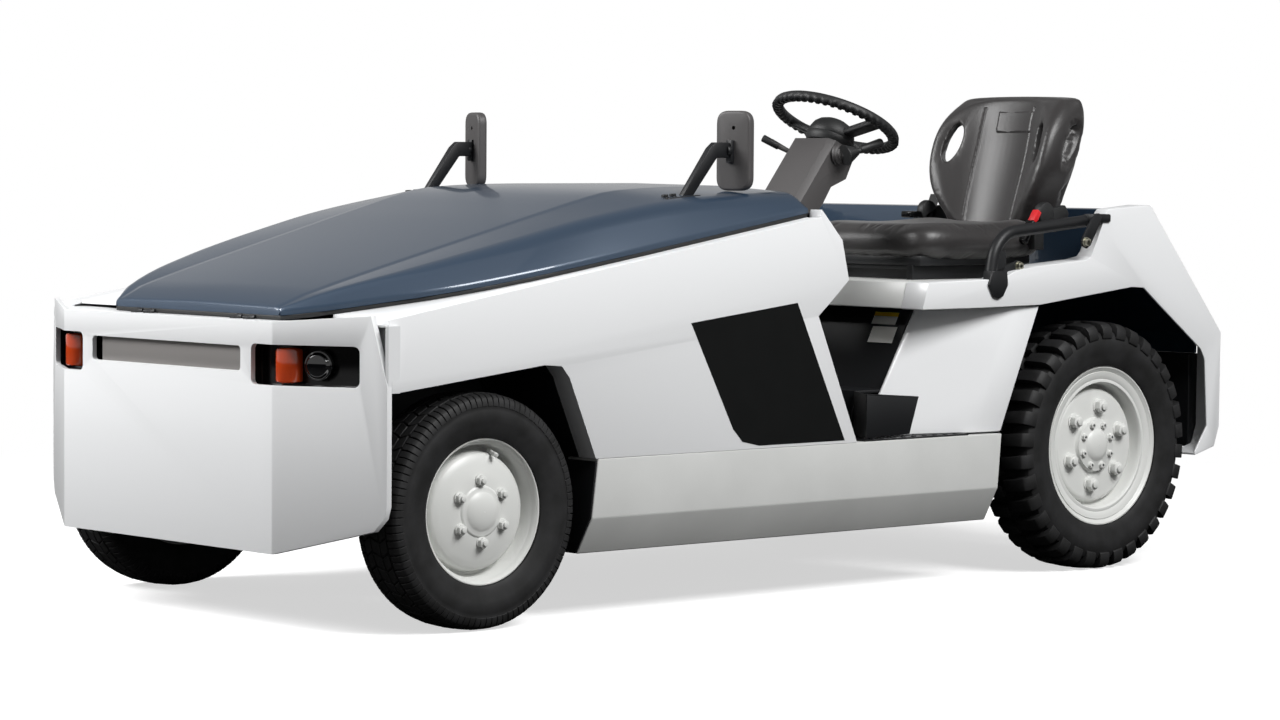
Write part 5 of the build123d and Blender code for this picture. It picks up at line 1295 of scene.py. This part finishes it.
def make_mirrors(sizes):
    """Mirror heads with raised rims on bar arms, standing on the hood."""
    half, high = in_mm(sizes.mirror_width) / 2, in_mm(sizes.mirror_height) / 2
    heads, arms, glasses = [], [], []
    for side in (1, -1):
        y = side * MIRROR_ARM_Y
        place = Matrix.Translation(mm(190, side * 500, 1098))
        turn = place @ Matrix.Rotation(side * math.radians(MIRROR_TURN), 4, "Z")
        heads.append(moved(mirror_head(half, high), turn))
        wide, tall = half - MIRROR_MARGIN, high - MIRROR_MARGIN
        glasses.append(moved(block("glass", (-9.5, -wide, -tall), (-8, wide, tall), 0.6, 1), turn))
        clamp = block("clamp", (12, -9, -30), (24, 9, 26), 2.0)
        boss = rod("boss", (20, 0, 0), (34, 0, 0), 13, 2.0)
        joint = moved(join("mirror_joint", [clamp, boss]), place)
        arm = soften(side_plate("mirror_arm", MIRROR_ARM, y - 9, 18), 2.5, 2)
        plate = block("mirror_plate", (324, y - 25, 980), (439, y + 25, 986), 2.0, 2)
        bolts = [zinc_bolt(15, (x, y, 985), UPRIGHT) for x in (394, 420)]
        plate = join("mirror_plate", [plate] + bolts)
        centre = Matrix.Translation(mm(*MIRROR_PLATE_MIDDLE))
        moved(plate, centre @ Matrix.Rotation(MIRROR_PLATE_TILT, 4, "Y") @ centre.inverted())
        arms += [joint, arm, plate]
    mirrors = join("mirror_set", heads)
    finish(mirrors, "grained_abs", "hood", ["mirrors"])
    finish(join("mirror_arms", arms), "black_powder_coat", "hood")
    finish(join("mirror_glasses", glasses), "mirror_glass", "hood")


# Decal and labels


FILM = [(488, 688), (136, 729), (-30, 386), (262, 386), (318, 398), (349, 430)]
TOE_CHEEK = [(-109, 388), (-109, 497), (-294, 485), (-262, 392)]
TOE_FACE = [(-109, 666), (-112, 658), (-172, 556), (-178, 560)]
TOE_LID = [(-109, 666, 497), (-294, 666, 485), (-294, 640, 485), (-178, 556, 492)]
KICK_SLOPE = 0.522  # how far the kick panel goes back for each step down


def make_decals(sizes):
    """Black film on both side panels, the toe boxes, and the blank plates on the kick panel."""
    for side, name in ((1, "left"), (-1, "right")):
        film = side_plate("film_" + name, FILM, side * (BODY_SIDE - 0.4), side * in_mm(sizes.film_gauge))
        finish(smooth(film), "black_film", "chassis")
    make_toe_boxes()
    white = [kick_label(436, 520, 658, 678), kick_label(446, 532, 612, 652)]
    finish(join("white_labels", white), "white_label", "chassis")
    finish(kick_label(436, 520, 678.3, 688), "yellow_label", "chassis")


def make_toe_boxes():
    """The black boxes that stand outside the seat's side panels at the floor."""
    pieces = []
    for side in (1, -1):
        pieces.append(side_plate("toe_cheek", TOE_CHEEK, side * 662, side * 4))
        pieces.append(level_plate("toe_face", [(x, side * y) for x, y in TOE_FACE], 388, 109))
        pieces.append(prism("toe_lid", [mm(x, side * y, z) for x, y, z in TOE_LID], mm(0, 0, -3)))
    boxes = join("toe_boxes", pieces)
    soften(boxes, 1.5, 2)
    finish(boxes, "black_powder_coat", "chassis")


def kick_label(y0, y1, z0, z1):
    """A thin blank plate on the slanted face of the kick panel."""
    out = Vector((1.0, 0.0, KICK_SLOPE)).normalized() * MM
    corners = [(y0, z0), (y1, z0), (y1, z1), (y0, z1)]
    return prism("kick_label", [mm(-379 + (703 - z) * KICK_SLOPE, y, z) + out * 0.3 for y, z in corners], out * 1.4)


# Settings


def length(name, description, default, low, high):
    """A length setting, in metres, with its limits."""
    return bpy.props.FloatProperty(
        name=name, description=description, default=default, min=low, max=high, precision=4, unit="LENGTH"
    )


class TractorPaint(bpy.types.PropertyGroup):
    """Colours that a user may change."""

    white_colour: bpy.props.StringProperty(
        name="Body", description="sRGB hex code of the body's enamel", default="#dfe0e1"
    )
    hood_colour: bpy.props.StringProperty(
        name="Hood", description="sRGB hex code of the hood's enamel", default="#2c3d50"
    )
    wheel_colour: bpy.props.StringProperty(
        name="Wheels", description="sRGB hex code of the rims' enamel", default="#d6d7d4"
    )
    vinyl_colour: bpy.props.StringProperty(
        name="Seat", description="sRGB hex code of the seat's vinyl", default="#262424"
    )


class TractorSizes(bpy.types.PropertyGroup):
    """Sizes that a user may change."""

    edge_share: bpy.props.FloatProperty(
        name="Edge rounding", description="Share of the usual radius on pressed and cast edges", default=1.0,
        min=0.1, max=1.5, subtype="FACTOR",
    )
    fender_gauge: length("Fender gauge", "Thickness of the fenders' plate", 0.006, 0.002, 0.010)
    hood_gauge: length("Hood gauge", "Thickness of the hood's shell", 0.005, 0.002, 0.010)
    rail_radius: length("Rail radius", "Radius of the hip rails' tube", 0.016, 0.008, 0.022)
    front_nut: length("Front nuts", "Size of the front wheel nuts across the flats", 0.022, 0.012, 0.030)
    rear_nut: length("Rear nuts", "Size of the rear wheel nuts across the flats", 0.032, 0.018, 0.040)
    front_blocks: bpy.props.IntProperty(
        name="Tread pitches", description="Pitches of road tread round a front tyre", default=48, min=24, max=72
    )
    rear_lugs: bpy.props.IntProperty(
        name="Lugs", description="Pairs of lugs round a rear tyre", default=34, min=16, max=48
    )
    seam_depth: length("Seam depth", "How deep the back's seams are drawn in", 0.0028, 0.0, 0.006)
    ring_radius: length("Steering ring", "Radius of the steering wheel to the middle of its rim", 0.157, 0.13, 0.18)
    ring_section: length("Rim thickness", "Radius of the steering wheel's rim itself", 0.013, 0.008, 0.018)
    mirror_width: length("Mirror width", "Width of a mirror's head", 0.096, 0.07, 0.14)
    mirror_height: length("Mirror height", "Height of a mirror's head", 0.196, 0.14, 0.24)
    film_gauge: length("Film gauge", "Thickness of the black film on the sides", 0.0009, 0.0002, 0.002)


class TractorStudio(bpy.types.PropertyGroup):
    """Light levels that a user may change."""

    world_light: bpy.props.FloatProperty(
        name="Studio fill", description="Strength of the even light from all sides", default=0.24, min=0.0, max=2.0
    )
    mirror_light: bpy.props.FloatProperty(
        name="Studio in reflections", description="Brightness of the studio wall in paint and glass", default=0.5,
        min=0.0, max=1.0, subtype="FACTOR",
    )
    floor_glow: bpy.props.FloatProperty(
        name="Floor glow", description="How much the floor is lifted towards white", default=0.62, min=0.0, max=1.0,
        subtype="FACTOR",
    )


SETTINGS = {"tractor_paint": TractorPaint, "tractor_sizes": TractorSizes, "tractor_studio": TractorStudio}


# Operators


class TRACTOR_OT_stage(bpy.types.Operator):
    """Makes the materials, the camera, the floor and the lamps"""

    bl_idname = "tractor.stage"
    bl_label = "Materials and stage"

    def execute(self, context):
        make_materials(context.scene.tractor_paint)
        make_camera()
        make_stage(context.scene.tractor_studio)
        return {"FINISHED"}


class TRACTOR_OT_sheets(bpy.types.Operator):
    """Dresses the sheet metal and the running gear"""

    bl_idname = "tractor.sheets"
    bl_label = "Sheet metal"

    def execute(self, context):
        dress_sheets(context.scene.tractor_sizes)
        return {"FINISHED"}


class TRACTOR_OT_fenders(bpy.types.Operator):
    """Models the rear fenders and closes the joints round the nose"""

    bl_idname = "tractor.fenders"
    bl_label = "Fenders and nose joints"

    def execute(self, context):
        make_fenders(context.scene.tractor_sizes)
        make_nose_joints()
        return {"FINISHED"}


class TRACTOR_OT_rails(bpy.types.Operator):
    """Models the rails beside the seat"""

    bl_idname = "tractor.rails"
    bl_label = "Hip rails"

    def execute(self, context):
        make_rails(context.scene.tractor_sizes)
        return {"FINISHED"}


class TRACTOR_OT_lamps(bpy.types.Operator):
    """Models the lamps' lenses"""

    bl_idname = "tractor.lamps"
    bl_label = "Lamps"

    def execute(self, context):
        make_lamps()
        return {"FINISHED"}


class TRACTOR_OT_wheels(bpy.types.Operator):
    """Models the wheels and tyres"""

    bl_idname = "tractor.wheels"
    bl_label = "Wheels"

    def execute(self, context):
        make_wheels(context.scene.tractor_sizes)
        return {"FINISHED"}


class TRACTOR_OT_hood(bpy.types.Operator):
    """Models the hood"""

    bl_idname = "tractor.hood"
    bl_label = "Hood"

    def execute(self, context):
        make_hood(context.scene.tractor_sizes)
        return {"FINISHED"}


class TRACTOR_OT_decals(bpy.types.Operator):
    """Models the decals and plates"""

    bl_idname = "tractor.decals"
    bl_label = "Decals"

    def execute(self, context):
        make_decals(context.scene.tractor_sizes)
        return {"FINISHED"}


class TRACTOR_OT_seat(bpy.types.Operator):
    """Models the seat"""

    bl_idname = "tractor.seat"
    bl_label = "Seat"

    def execute(self, context):
        make_seat(context.scene.tractor_sizes)
        return {"FINISHED"}


class TRACTOR_OT_steering(bpy.types.Operator):
    """Models the steering wheel and the bellows and knobs of the column's levers"""

    bl_idname = "tractor.steering"
    bl_label = "Steering"

    def execute(self, context):
        make_steering(context.scene.tractor_sizes)
        return {"FINISHED"}


class TRACTOR_OT_mirrors(bpy.types.Operator):
    """Models the mirrors"""

    bl_idname = "tractor.mirrors"
    bl_label = "Mirrors"

    def execute(self, context):
        make_mirrors(context.scene.tractor_sizes)
        return {"FINISHED"}


OPERATORS = [
    TRACTOR_OT_stage, TRACTOR_OT_sheets, TRACTOR_OT_fenders, TRACTOR_OT_rails, TRACTOR_OT_lamps, TRACTOR_OT_wheels,
    TRACTOR_OT_hood, TRACTOR_OT_seat, TRACTOR_OT_steering, TRACTOR_OT_mirrors, TRACTOR_OT_decals,
]


class TRACTOR_PT_panel(bpy.types.Panel):
    """Lists the tractor's settings and operators"""

    bl_label = "Tractor"
    bl_idname = "TRACTOR_PT_panel"
    bl_space_type = "VIEW_3D"
    bl_region_type = "UI"
    bl_category = "Tractor"

    def draw(self, context):
        for group, settings in SETTINGS.items():
            for name in settings.__annotations__:
                self.layout.prop(getattr(context.scene, group), name)
        for operator in OPERATORS:
            self.layout.operator(operator.bl_idname)


def register():
    """Registers the classes and the scene's settings."""
    for item in (*SETTINGS.values(), *OPERATORS, TRACTOR_PT_panel):
        bpy.utils.register_class(item)
    for group, settings in SETTINGS.items():
        setattr(bpy.types.Scene, group, bpy.props.PointerProperty(type=settings))


def unregister():
    """Takes them away again."""
    for group in SETTINGS:
        delattr(bpy.types.Scene, group)
    for item in (TRACTOR_PT_panel, *reversed(OPERATORS), *SETTINGS.values()):
        bpy.utils.unregister_class(item)


def main():
    """Runs every operator in order."""
    register()
    bpy.ops.object.select_all(action="DESELECT")
    for operator in OPERATORS:
        group, name = operator.bl_idname.split(".")
        getattr(getattr(bpy.ops, group), name)()


if __name__ == "__main__":
    main()
